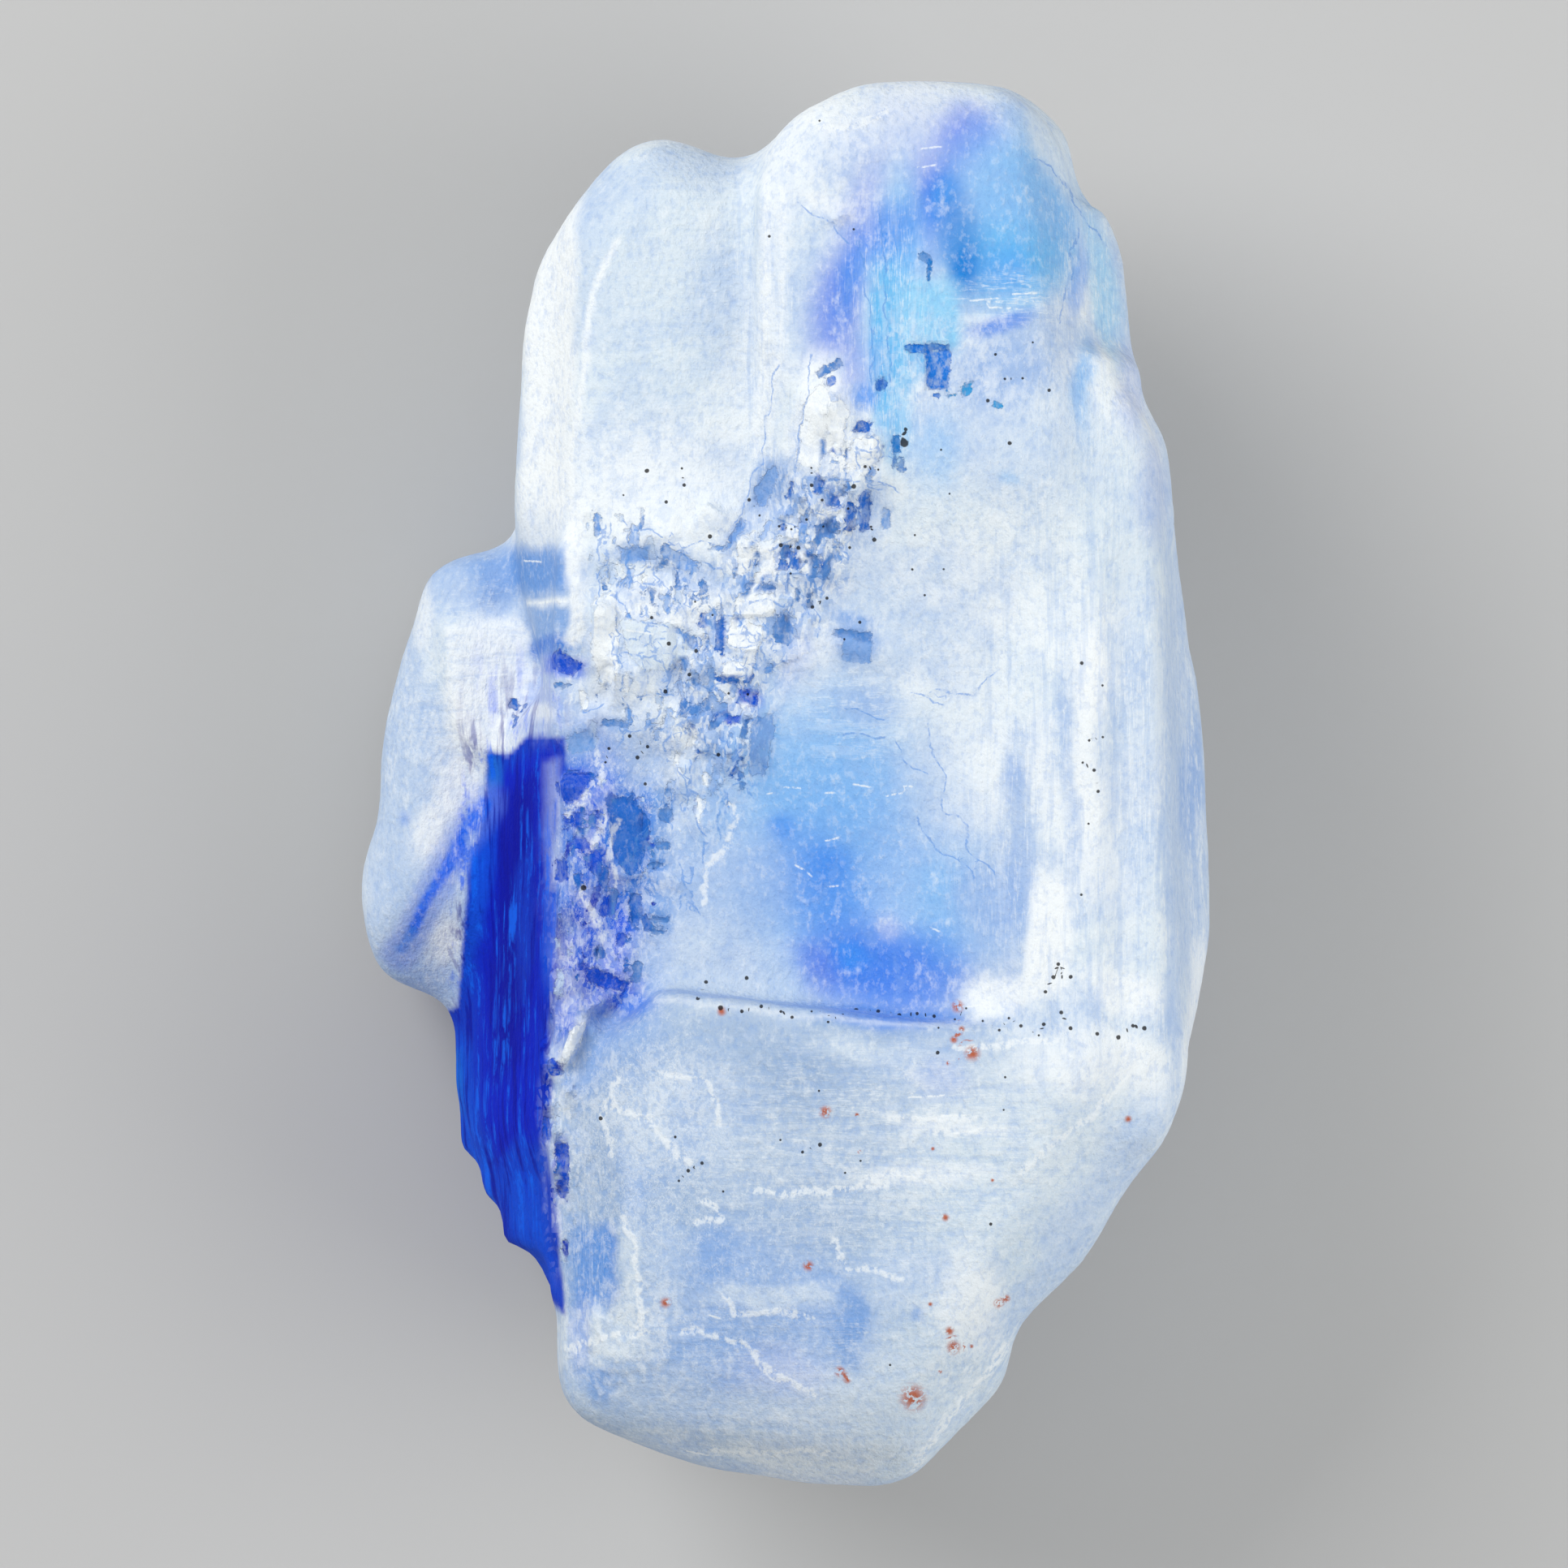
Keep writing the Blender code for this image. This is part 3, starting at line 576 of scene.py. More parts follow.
# %% Facets of the lower half
LOWER_FACETS = [
    ("slate", 0.1, box(998, 739, 4, 10)), ("white", -0.06, box(930, 746, 24, 14, -4)),
    ("slate", 0.12, [(953, 790), (954, 764), (966, 754), (977, 760), (974, 796)]),
    ("steel", 0.1, box(888, 784, 5, 22, 3)), ("white", -0.06, box(917, 784, 20, 17, 10)),
    ("steel", 0.1, box(896, 838, 14, 4, 6)), ("steel", 0.1, box(923, 836, 4, 8, 20)),
    ("white", -0.06, box(905, 824, 15, 8, 3)), ("royal", 0.15, box(922, 860, 12, 8, 10)),
    ("steel", 0.12, box(888, 880, 9, 6)), ("royal", 0.12, box(905, 887, 9, 5, 6)),
    ("slate", 0.1, box(880, 893, 7, 4)), ("slate", 0.1, box(918, 898, 4, 15, 10)),
    ("slate", 0.1, box(856, 874, 8, 6)), ("slate", 0.1, box(870, 866, 5, 10)),
    ("grey_blue", 0.08, [(926, 884), (952, 880), (954, 900), (944, 954), (924, 956)]),
    ("grey_blue", 0.1, [(822, 768), (840, 776), (862, 796), (852, 800), (828, 780)]),
    ("milk", -0.08, [(764, 764), (826, 768), (856, 802), (822, 826), (790, 826), (770, 800)]),
    ("white", -0.12, [(731, 736), (758, 730), (762, 836), (742, 846), (728, 800)]),
    ("grey_blue", 0.06, box(782, 683, 18, 9, -4)), ("mist", 0.05, box(838, 690, 24, 8, 30)),
    ("slate", 0.1, box(1051, 782, 24, 5, 7)), ("grey_blue", 0.05, box(1056, 802, 18, 14, 10)),
    ("slate", 0.08, box(760, 891, 19, 4, 4)), ("grey_blue", 0.06, box(717, 914, 17, 12, -14)),
    ("steel", 0.1, box(634, 868, 6, 7)), ("steel", 0.1, box(636, 890, 4, 8)),
    ("steel", 0.1, box(648, 872, 4, 5)), ("slate", 0.05, box(694, 845, 11, 3)),
    ("royal", 0.1, [(666, 806), (690, 800), (718, 820), (706, 832), (674, 822)]),
    ("royal", 0.15, [(700, 951), (727, 953), (722, 970), (713, 988), (697, 993), (683, 968)]),
    ("steel", 0.12, [(748, 985), (770, 981), (787, 992), (801, 1012), (795, 1048), (786, 1076),
        (771, 1078), (756, 1050)]),
    ("royal", 0.12, box(716, 1040, 11, 7, 32)), ("royal", 0.12, box(734, 1060, 8, 15, 24)),
    ("royal", 0.1, box(692, 1072, 7, 13)), ("royal", 0.1, box(747, 1116, 6, 14, 12)),
    ("steel", 0.1, box(783, 1118, 7, 17)), ("slate", 0.08, box(808, 1066, 9, 4)),
    ("slate", 0.08, box(814, 1134, 11, 4, -4)), ("slate", 0.08, box(812, 1148, 9, 3, -4)),
    ("slate", 0.08, box(820, 1004, 9, 8)), ("slate", 0.08, box(816, 1040, 9, 5)),
    ("royal", 0.15, [(716, 1192), (744, 1196), (776, 1212), (770, 1222), (728, 1212)]),
    ("white", -0.2, [(694, 1316), (690, 1296), (708, 1262), (722, 1258), (718, 1276)]),
    ("royal", 0.15, [(684, 1410), (700, 1408), (702, 1440), (698, 1476), (688, 1472)]),
    ("royal", 0.1, box(673, 1390, 4, 15)),
]
WINDOWS = {"deep_teal", "steel", "bright_cyan", "teal", "royal", "cobalt", "slate", "cornflower"}
print("facets of the lower half:", len(LOWER_FACETS), "clear colours:", len(WINDOWS))

# %% [markdown]
# Between the facets that can be named lie many small shards. Each band gets a number of them,
# with its own turn in degrees and its own colours. They are boxes with their corners moved.

# %% Random shards
SHARD_BANDS = [
    (BROKEN_BAND[:8], 110, 16.0, ("white", "mist", "grey_blue", "slate", "steel")),
    (BROKEN_BAND[:8], 30, -8.0, ("white", "mist", "grey_blue")),
    # Shards of the side band are partly painted shade: their darker colours stand for the shadows
    # of its broken relief.
    (SIDE_BAND, 90, 0.0, ("mist", "white", "haze", "grey_blue", "slate")),
    ([(744, 960, 50), (760, 1040, 52), (750, 1120, 56), (744, 1200, 40)], 80, 4.0,
        ("royal", "steel", "cobalt", "slate", "steel", "haze")),
    ([(694, 1000, 10), (690, 1200, 12), (688, 1420, 12), (700, 1560, 16)], 30, 2.0,
        ("royal", "cobalt", "steel", "haze")),
]


def shards():
    """Many small random facets along the broken bands."""
    rows = []
    for band, count, turn, names in SHARD_BANDS:
        for _ in range(count):
            x, y, half = along_band(band, dice.random())
            x, y = x + dice.uniform(-half, half), y + dice.uniform(-14, 14)
            wide = 1.6 + 3.4 * dice.random() ** 2
            long = wide * dice.uniform(1.2, 4.0)
            corners = box(x, y, wide, long, turn + dice.uniform(-14, 14))
            corners = [(a + dice.uniform(-0.4, 0.4) * wide, b + dice.uniform(-0.4, 0.4) * wide)
                       for a, b in corners]
            rows.append((dice.choice(names), dice.uniform(0.0, 0.1), corners))
    return rows


all_facets = shards() + UPPER_FACETS + LOWER_FACETS
print("facets in all:", len(all_facets))

# %% [markdown]
# The facets are also real steps: clear windows are pressed into the skin, and white facets stand
# a little proud. The edge of the step is as wide as the mesh allows.

# %% Sink the facets
FACET_REACH = 14.0        # pixels beyond the edge where a facet's colour is still kept
FACET_EDGE = 3.0          # pixels, half the width of the step


def facet_distance(seen, corners):
    """Distance to the edge of a convex outline, below zero inside."""
    corners = np.array(corners, float)
    after = np.roll(corners, -1, axis=0)
    area = np.sum(corners[:, 0] * after[:, 1] - after[:, 0] * corners[:, 1])
    far = np.full(len(seen), -1e9)
    for start, end in zip(corners, after):
        side = (end - start) / np.linalg.norm(end - start) * math.copysign(1.0, area)
        far = np.maximum(far, (seen - start) @ np.array((side[1], -side[0])))
    return far


def within(seen, corners, reach):
    """The numbers of the points that lie in the box around some corners, widened by a reach."""
    low, high = np.min(corners, axis=0) - reach, np.max(corners, axis=0) + reach
    return np.nonzero(np.all((seen > low) & (seen < high), axis=1))[0]


def facets_at(points, normals):
    """For each point: distance to the nearest facet, its colour, if it is clear, its depth."""
    seen = in_photo(points)
    nearest = np.full(len(points), FACET_REACH)
    tint = np.tile(PALETTE["milk"], (len(points), 1))
    sunk = np.zeros(len(points))
    window = np.zeros(len(points))
    for name, depth, corners in all_facets:
        close = within(seen, corners, FACET_REACH)
        far = facet_distance(seen[close], corners)
        mine = close[far < nearest[close]]
        nearest[mine] = far[far < nearest[close]]
        tint[mine] = PALETTE[name]
        window[mine] = float(name in WINDOWS)
        sunk[close] += depth * smooth(far, FACET_EDGE, -FACET_EDGE)
    front = on_front(points, normals, 0.1, 0.4)
    return nearest + FACET_REACH * (1.0 - front), tint, window, sunk * front


def sink_facets(mesh):
    """Presses the windows in and lifts the white facets."""
    points, normals = points_of(mesh)
    sunk = facets_at(points, normals)[3]
    points[:, 2] -= sunk
    mesh.vertices.foreach_set("co", (points * MM).ravel())
    mesh.update()
    return sunk


sunk = sink_facets(stone.data)
print("facets sunk by up to, mm:", round(float(sunk.max()), 2))

# %% [markdown]
# Node trees are long, so one small function adds a node with its settings and its links. The
# settings that come again and again have short names.

# %% One function for nodes
MATH, VECTOR, MAP = "ShaderNodeMath", "ShaderNodeVectorMath", "ShaderNodeMapRange"
TIMES, PLUS, MINUS, MOST = (
    {"operation": kind} for kind in ("MULTIPLY", "MULTIPLY_ADD", "SUBTRACT", "MAXIMUM"))
SOFT = {"interpolation_type": "SMOOTHSTEP"}


def add(tree, kind, *values, sockets=None, **settings):
    """Adds a node and sets it. Values go to its inputs in order, and sockets to named inputs:
    each is a number, an output socket, or a node, whose first output is used."""
    made = tree.nodes.new(kind)
    for setting, value in settings.items():
        setattr(made, setting, value)
    wanted = list(enumerate(values)) + list((sockets or {}).items())
    for key, value in wanted:
        if isinstance(value, bpy.types.Node):
            value = value.outputs[0]
        if isinstance(value, bpy.types.NodeSocket):
            tree.links.new(value, made.inputs[key])
        elif value is not None:
            made.inputs[key].default_value = value
    return made


print("short names:", TIMES, PLUS, MINUS, MOST, SOFT)

# %% [markdown]
# In the broken band a mosaic of box-like cells lifts and tilts each cell a little, which is how
# cleavage steps look. There are large cells, splinters and crumbs. Each kind has a height in mm
# and a number that says how many times taller than wide it is.

# %% Cleavage cells
CLEAVAGE_TURN = -4.0      # degrees
MOSAIC_CELL = (0.75, 1.3)
SPLINTER_CELL = (0.36, 1.6)
CRUMB_CELL = (0.2, 1.9)
CELL_SWAY = 0.16          # hundreds of pixels
CELL_TILT = 1.4


def cells(tree, place, size, stretch):
    """Box-like cleavage cells, turned with the crystal, on the front of the stone."""
    turned = add(tree, "ShaderNodeVectorRotate", place, rotation_type="Z_AXIS",
                 sockets={"Angle": math.radians(CLEAVAGE_TURN)})
    count = PIXEL * SEEN_UNIT / size
    swayed = add(tree, "ShaderNodeTexNoise", turned, noise_dimensions="2D",
                 sockets={"Scale": 2.6, "Detail": 2.0})
    bent = add(tree, VECTOR, swayed.outputs["Color"], (CELL_SWAY, CELL_SWAY, 0.0), turned, **PLUS)
    scaled = add(tree, VECTOR, bent, (count * stretch, count, 0.0), **TIMES)
    cell = add(tree, "ShaderNodeTexVoronoi", scaled, voronoi_dimensions="2D",
               distance="CHEBYCHEV", sockets={"Scale": 1.0, "Randomness": 0.8})
    return cell, scaled


def tilted_height(tree, cell, scaled):
    """Height of each cell: a level of its own and a small tilt of its own."""
    dice_roll = cell.outputs["Color"]
    level = add(tree, "ShaderNodeSeparateXYZ", dice_roll).outputs[2]
    centred = add(tree, MATH, level, 0.5, **MINUS)
    lean = add(tree, VECTOR, dice_roll, (0.5, 0.5, 0.5), **MINUS)
    reach = add(tree, VECTOR, scaled, cell.outputs["Position"], **MINUS)
    slope = add(tree, VECTOR, reach, lean, operation="DOT_PRODUCT").outputs["Value"]
    return add(tree, MATH, slope, CELL_TILT, centred, **PLUS)


print("cell heights, mm:", MOSAIC_CELL[0], SPLINTER_CELL[0], CRUMB_CELL[0])

# %% [markdown]
# Stretched noise gives the fine lines of growth along or across the crystal. The relief and the
# colours share its scales, so the pale lines lie on the raised ones. That white is painted light,
# and the mist in the sunken lines is painted shade.

# %% Stretched noise and layers of height
LINE_SCALES = {           # per mm, along each axis
    "lined_across": (0.35, 3.2, 1.0),
    "lined_along": (3.0, 0.22, 0.8),
}


def stretched_noise(tree, point, scale, detail, rough=0.55):
    """Noise on the stone in mm, with its own scale along each axis."""
    scaled = add(tree, VECTOR, point, scale, **TIMES)
    return add(tree, "ShaderNodeTexNoise", scaled,
               sockets={"Scale": 1.0, "Detail": detail, "Roughness": rough})


def layer(tree, below, pattern, strength):
    """The height so far, plus a pattern that is centred on a half and scaled by its strength."""
    centred = add(tree, MATH, pattern, 0.5, **MINUS)
    return add(tree, MATH, centred, strength, below, **PLUS)


print("ways of the growth lines:", len(LINE_SCALES))

# %% [markdown]
# The fine relief is a Geometry Nodes modifier. It adds the mosaic of the broken band, low
# terraces where a noise is cut to levels, the growth lines, and a fine grain everywhere. It is
# applied, so the relief is real geometry.

# %% Fine relief
MOSAIC_HEIGHT = 0.14      # mm, as are the heights below
SPLINTER_HEIGHT = 0.06
TERRACE_HEIGHT = 0.20
TERRACE_LEVELS = 7.0
TERRACE_SCALE = (0.42, 0.30, 0.36)
LINE_HEIGHT = 0.06
GRAIN_HEIGHT = 0.035
GRAIN_SCALE = (1.6, 1.6, 1.6)
NAMED = "GeometryNodeInputNamedAttribute"


def fine_relief():
    """The node group that moves the skin."""
    tree = bpy.data.node_groups.new("fine_relief", "GeometryNodeTree")
    for way in ("INPUT", "OUTPUT"):
        tree.interface.new_socket("Geometry", in_out=way, socket_type="NodeSocketGeometry")
    start = add(tree, "NodeGroupInput")
    finish = add(tree, "NodeGroupOutput")
    place = add(tree, NAMED, "seen_place", data_type="FLOAT_VECTOR")
    point = add(tree, VECTOR, add(tree, "GeometryNodeInputPosition"), operation="SCALE",
                sockets={"Scale": 1 / MM})

    big, small = (tilted_height(tree, *cells(tree, place, *cell))
                  for cell in (MOSAIC_CELL, SPLINTER_CELL))
    small = add(tree, MATH, small, SPLINTER_HEIGHT, **TIMES)
    mosaic = add(tree, MATH, big, MOSAIC_HEIGHT, small, **PLUS)
    height = add(tree, MATH, mosaic, add(tree, NAMED, "broken"), **TIMES)

    swell = stretched_noise(tree, point, TERRACE_SCALE, 3.0)
    levels = add(tree, MATH, swell, 1.0 / TERRACE_LEVELS, operation="SNAP")
    patterns = [("terraced", levels, TERRACE_HEIGHT)]
    for zone, scale in LINE_SCALES.items():
        patterns.append((zone, stretched_noise(tree, point, scale, 3.0), LINE_HEIGHT))
    for zone, pattern, reach in patterns:
        strength = add(tree, MATH, add(tree, NAMED, zone), 2 * reach, **TIMES)
        height = layer(tree, height, pattern, strength)
    grain = stretched_noise(tree, point, GRAIN_SCALE, 4.0, 0.7)
    height = layer(tree, height, grain, 2 * GRAIN_HEIGHT)
    height = add(tree, MATH, height, MM, **TIMES)

    offset = add(tree, VECTOR, add(tree, "GeometryNodeInputNormal"), operation="SCALE",
                 sockets={"Scale": height})
    moved = add(tree, "GeometryNodeSetPosition", start, sockets={"Offset": offset})
    tree.links.new(moved.outputs[0], finish.inputs[0])
    return tree


work_in(stone, "NODES", "fine_relief", node_group=fine_relief())
print("relief worked in, vertices:", len(stone.data.vertices))

# %% [markdown]
# The back and the lower sides carry less detail, so they are thinned with a Decimate modifier
# that only works on one vertex group. The front keeps its even, fine mesh, because the colours
# of the next steps are also written on its vertices.

# %% Thin the back
MOST_TRIANGLES = 190000
BACK_TOP = 9.0            # mm, all above it and a soft run is kept
BACK_FADE = 4.0


def triangles_in(mesh):
    """How many triangles the faces of a mesh come to."""
    return sum(len(face.vertices) - 2 for face in mesh.polygons)


def thin_back(thing):
    """Fewer faces below a height, none lost above it."""
    points, normals = points_of(thing.data)
    low = smooth(points[:, 2], BACK_TOP + BACK_FADE, BACK_TOP)
    hidden = smooth(normals[:, 2], 0.1, -0.3) * low
    group = thing.vertex_groups.new(name="back")
    for index in np.nonzero(hidden > 0.0)[0]:
        group.add([int(index)], float(hidden[index]), "REPLACE")
    triangles = triangles_in(thing.data)
    if triangles > MOST_TRIANGLES:
        work_in(thing, "DECIMATE", "thin_back", ratio=MOST_TRIANGLES / triangles,
                vertex_group="back", vertex_group_factor=2.0)
    thing.vertex_groups.clear()


thin_back(stone)
print("triangles:", triangles_in(stone.data))

# %% [markdown]
# The clouds are laid one over the other, as glazes are. Each row gives the middle and half size
# in pixels, the turn in degrees, the colour, its strength and the softness of its edge.

# %% Colour clouds of the upper lobes
UPPER_CLOUDS = [
    (812, 380, 105, 190, 0, "pearl", 0.4, 0.5), (890, 350, 36, 50, 10, "haze", 0.5, 0.6),
    (676, 430, 30, 270, 2, "white", 1.0, 0.3), (800, 610, 110, 80, 0, "white", 0.75, 0.6),
    (948, 400, 14, 200, 1, "white", 0.6, 0.6), (1000, 170, 60, 60, 0, "white", 0.7, 0.5),
    (1018, 258, 34, 14, 24, "white", 0.9, 0.3), (1036, 284, 30, 14, 30, "mist", 0.5, 0.5),
    (1010, 350, 50, 90, 0, "haze", 0.5, 0.6), (1030, 200, 36, 30, 30, "haze", 0.6, 0.5),
    (1130, 220, 84, 90, 0, "lilac", 0.6, 0.7), (1196, 168, 40, 34, 20, "violet", 0.85, 0.7),
    (1148, 232, 36, 54, 24, "violet", 0.6, 0.8), (1160, 240, 24, 38, 24, "cornflower", 0.9, 0.7),
    (1162, 246, 12, 24, 20, "azure", 0.8, 0.7), (1262, 262, 84, 104, -12, "sky", 0.95, 0.5),
    (1235, 330, 74, 50, 0, "cyan", 0.65, 0.6), (1186, 300, 26, 60, -16, "teal", 0.75, 0.7),
    (1192, 334, 15, 32, 8, "teal", 0.95, 0.6), (1240, 334, 26, 26, 30, "azure", 0.35, 0.7),
    (1104, 380, 34, 150, 2, "ice", 1.0, 0.5), (1092, 420, 20, 110, 1, "cyan", 0.8, 0.6),
    (1150, 388, 36, 40, 6, "ice", 0.9, 0.4), (1128, 300, 40, 40, 0, "azure", 0.45, 0.7),
    (1030, 372, 30, 66, 12, "violet", 0.85, 0.8), (1044, 352, 16, 56, 16, "cornflower", 0.8, 0.7),
    (1092, 282, 46, 26, -38, "cornflower", 0.65, 0.8), (1070, 310, 20, 44, 24, "azure", 0.5, 0.8),
    (1062, 262, 22, 50, 14, "violet", 0.45, 0.8), (1046, 448, 36, 40, -10, "violet", 0.55, 0.8),
    (1066, 486, 15, 13, 0, "azure", 0.85, 0.6), (1022, 454, 20, 12, -24, "slate", 0.85, 0.4),
    (1236, 396, 38, 11, -14, "cornflower", 0.95, 0.5), (1242, 452, 66, 46, -14, "mist", 0.8, 0.6),
    (1300, 410, 30, 36, 0, "haze", 0.7, 0.6), (1334, 480, 12, 64, 3, "sky", 0.8, 0.6),
    (1328, 345, 9, 44, 5, "azure", 0.5, 0.6), (1362, 360, 16, 80, -9, "ice", 0.6, 0.6),
    (1300, 180, 26, 70, -24, "milk", 0.8, 0.5), (1392, 480, 16, 60, -6, "lilac", 0.5, 0.6),
    (1152, 556, 34, 46, 0, "sky", 0.6, 0.7), (1106, 530, 14, 46, 2, "cyan", 0.55, 0.6),
    (1104, 547, 6, 10, 0, "teal", 0.8, 0.6), (1250, 590, 60, 40, 20, "haze", 0.6, 0.7),
    (1244, 586, 14, 7, 24, "sky", 0.7, 0.7), (1300, 540, 44, 60, 0, "haze", 0.5, 0.7),
    (1006, 500, 26, 66, 10, "white", 0.95, 0.35), (1056, 560, 32, 34, 4, "white", 0.85, 0.4),
    (1420, 600, 18, 60, 0, "lilac", 0.5, 0.6),
]
print("clouds of the upper lobes:", len(UPPER_CLOUDS))

# %% [markdown]
# The broken zone shows grey-blue windows between white chips. Below it the clear face holds a
# cloud that goes from pale blue to cornflower.

# %% Colour clouds of the middle
MIDDLE_CLOUDS = [
    (945, 600, 20, 34, 12, "grey_blue", 0.85, 0.4), (988, 614, 32, 34, 24, "grey_blue", 0.75, 0.5),
    (1028, 618, 10, 12, 10, "steel", 0.7, 0.4), (1018, 652, 18, 14, -20, "slate", 0.8, 0.5),
    (1070, 636, 24, 30, 6, "mist", 0.6, 0.5), (980, 690, 26, 12, 10, "steel", 0.6, 0.6),
    (1004, 706, 18, 26, 6, "slate", 0.7, 0.5), (938, 722, 28, 9, 12, "slate", 0.8, 0.5),
    (782, 684, 26, 14, 10, "grey_blue", 0.85, 0.5), (840, 700, 40, 20, 30, "mist", 0.7, 0.6),
    (908, 656, 10, 22, 30, "grey_blue", 0.85, 0.4), (964, 778, 14, 26, 8, "slate", 0.8, 0.5),
    (886, 782, 12, 34, 4, "slate", 0.75, 0.6), (880, 830, 16, 34, 4, "mist", 0.8, 0.5),
    (898, 884, 24, 16, -8, "steel", 0.85, 0.5), (866, 880, 20, 20, 0, "slate", 0.7, 0.5),
    (922, 860, 14, 12, 20, "royal", 0.8, 0.5), (850, 830, 34, 26, -40, "mist", 0.7, 0.6),
    (1050, 790, 30, 26, 14, "slate", 0.65, 0.5), (1050, 760, 28, 6, 6, "grey_blue", 0.8, 0.4),
    (980, 820, 18, 40, 16, "lilac", 0.7, 0.6), (938, 920, 18, 46, 8, "grey_blue", 0.8, 0.4),
    (895, 950, 32, 60, 12, "mist", 0.85, 0.6), (870, 1010, 40, 70, 20, "haze", 0.8, 0.6),
    (840, 1090, 24, 60, 6, "mist", 0.5, 0.6), (745, 800, 16, 64, 2, "white", 0.95, 0.4),
    (820, 745, 60, 22, 4, "white", 0.9, 0.4), (712, 700, 14, 90, 2, "white", 0.95, 0.4),
    (740, 720, 20, 60, 8, "milk", 0.7, 0.5), (790, 800, 40, 30, -20, "haze", 0.6, 0.5),
    (1000, 845, 24, 70, 16, "white", 0.55, 0.5), (1010, 950, 84, 90, -6, "sky", 0.7, 0.7),
    (1020, 1040, 130, 150, -10, "sky", 0.75, 0.7), (1060, 1080, 110, 130, -30, "azure", 0.28, 0.8),
    (962, 1022, 16, 18, 0, "azure", 0.65, 0.7), (1024, 1064, 24, 24, 20, "azure", 0.65, 0.8),
    (1020, 1110, 44, 66, -20, "azure", 0.6, 0.8), (990, 1070, 60, 50, 0, "cornflower", 0.3, 0.8),
    (1060, 1190, 70, 48, 14, "cornflower", 0.95, 0.6),
    (1130, 1200, 64, 54, 10, "cornflower", 0.75, 0.6), (1040, 1182, 26, 20, 24, "azure", 0.85, 0.7),
    (1150, 1170, 40, 30, -8, "cornflower", 0.7, 0.7), (1010, 1190, 20, 30, -20, "violet", 0.6, 0.8),
    (1180, 1110, 60, 60, 0, "sky", 0.85, 0.7), (1220, 1110, 44, 60, 6, "mist", 0.85, 0.6),
    (1096, 1142, 14, 13, 0, "lilac", 0.6, 0.6), (1070, 870, 44, 24, 4, "mist", 0.6, 0.6),
    (900, 1090, 60, 60, 0, "mist", 0.6, 0.7), (880, 1170, 60, 50, 0, "haze", 0.5, 0.7),
    (1160, 960, 46, 80, -16, "haze", 0.5, 0.6), (1210, 900, 60, 120, -6, "white", 0.4, 0.7),
    (1100, 1254, 90, 10, 3, "cornflower", 0.5, 0.5),
]
print("clouds of the middle:", len(MIDDLE_CLOUDS))

# %% [markdown]
# The right column is milk white. Its soft bright flutes from top to bottom are painted highlights
# on the fluted relief, and the cooler blue of its side face, which turns away from the light, is
# painted shade.

# %% Colour clouds, painted highlights and painted shade of the right column
COLUMN_CLOUDS_AND_PAINTED_LIGHT = [
    # The white flutes in these rows are painted highlights, and the haze and mist on the side face
    # are painted shade.
    (1330, 640, 110, 90, 0, "pearl", 0.4, 0.6), (1344, 830, 22, 60, -2, "white", 1.0, 0.5),
    (1342, 940, 18, 130, -1, "white", 0.85, 0.5), (1292, 1150, 26, 76, 0, "white", 1.0, 0.4),
    (1286, 950, 16, 70, -2, "white", 0.6, 0.6), (1224, 1228, 34, 24, -10, "white", 1.0, 0.5),
    (1390, 1226, 40, 24, 0, "white", 0.9, 0.5), (1252, 966, 15, 34, 4, "mist", 0.85, 0.6),
    (1250, 1020, 26, 44, 8, "haze", 0.8, 0.6), (1262, 1080, 16, 60, 4, "mist", 0.6, 0.6),
    (1310, 870, 12, 26, 0, "haze", 0.8, 0.6), (1318, 980, 9, 120, -2, "mist", 0.55, 0.6),
    (1400, 900, 34, 160, 0, "haze", 0.45, 0.7), (1334, 1240, 20, 20, 0, "haze", 0.6, 0.6),
    (1462, 1010, 26, 210, -1, "haze", 0.9, 0.4), (1468, 968, 13, 70, 0, "mist", 0.9, 0.6),
    (1446, 800, 12, 130, 2, "haze", 0.6, 0.5), (1474, 1240, 12, 90, 6, "white", 0.7, 0.5),
]
print("clouds of the right column:", len(COLUMN_CLOUDS_AND_PAINTED_LIGHT))

# %% [markdown]
# The left lobe is pale and soft, with a white block and a grey-blue hollow at its top.

# %% Colour clouds of the left lobe
LOBE_CLOUDS = [
    (580, 960, 140, 290, 0, "haze", 0.9, 0.3), (610, 712, 90, 34, -4, "grey_blue", 0.85, 0.5),
    (668, 702, 40, 26, 0, "slate", 0.7, 0.4), (556, 726, 30, 30, 20, "haze", 0.8, 0.5),
    (680, 742, 30, 6, 0, "milk", 0.9, 0.5), (604, 845, 50, 82, 4, "white", 0.9, 0.22),
    (624, 786, 28, 16, 0, "white", 1.0, 0.5), (550, 800, 26, 50, 10, "milk", 0.8, 0.5),
    (522, 760, 12, 40, 4, "white", 0.7, 0.5), (680, 776, 30, 34, 0, "grey_blue", 0.85, 0.4),
    (676, 796, 24, 12, -10, "steel", 0.8, 0.5), (694, 822, 24, 12, 6, "royal", 0.85, 0.4),
    (664, 880, 34, 44, 0, "lilac", 0.7, 0.5), (666, 878, 16, 10, 0, "white", 0.8, 0.6),
    (565, 970, 26, 50, 20, "white", 0.9, 0.5), (530, 1030, 26, 40, 26, "white", 0.8, 0.5),
    (556, 1160, 26, 26, 0, "white", 0.85, 0.6), (490, 1100, 30, 70, 0, "haze", 0.8, 0.6),
    (520, 1210, 60, 20, 10, "mist", 0.6, 0.6), (588, 1130, 14, 80, 4, "sky", 0.8, 0.6),
    (497, 1010, 6, 8, 0, "cornflower", 0.4, 0.8),
]
print("clouds of the left lobe:", len(LOBE_CLOUDS))

# %% [markdown]
# The crest of the rib is a net of pale broken salt over blue windows.

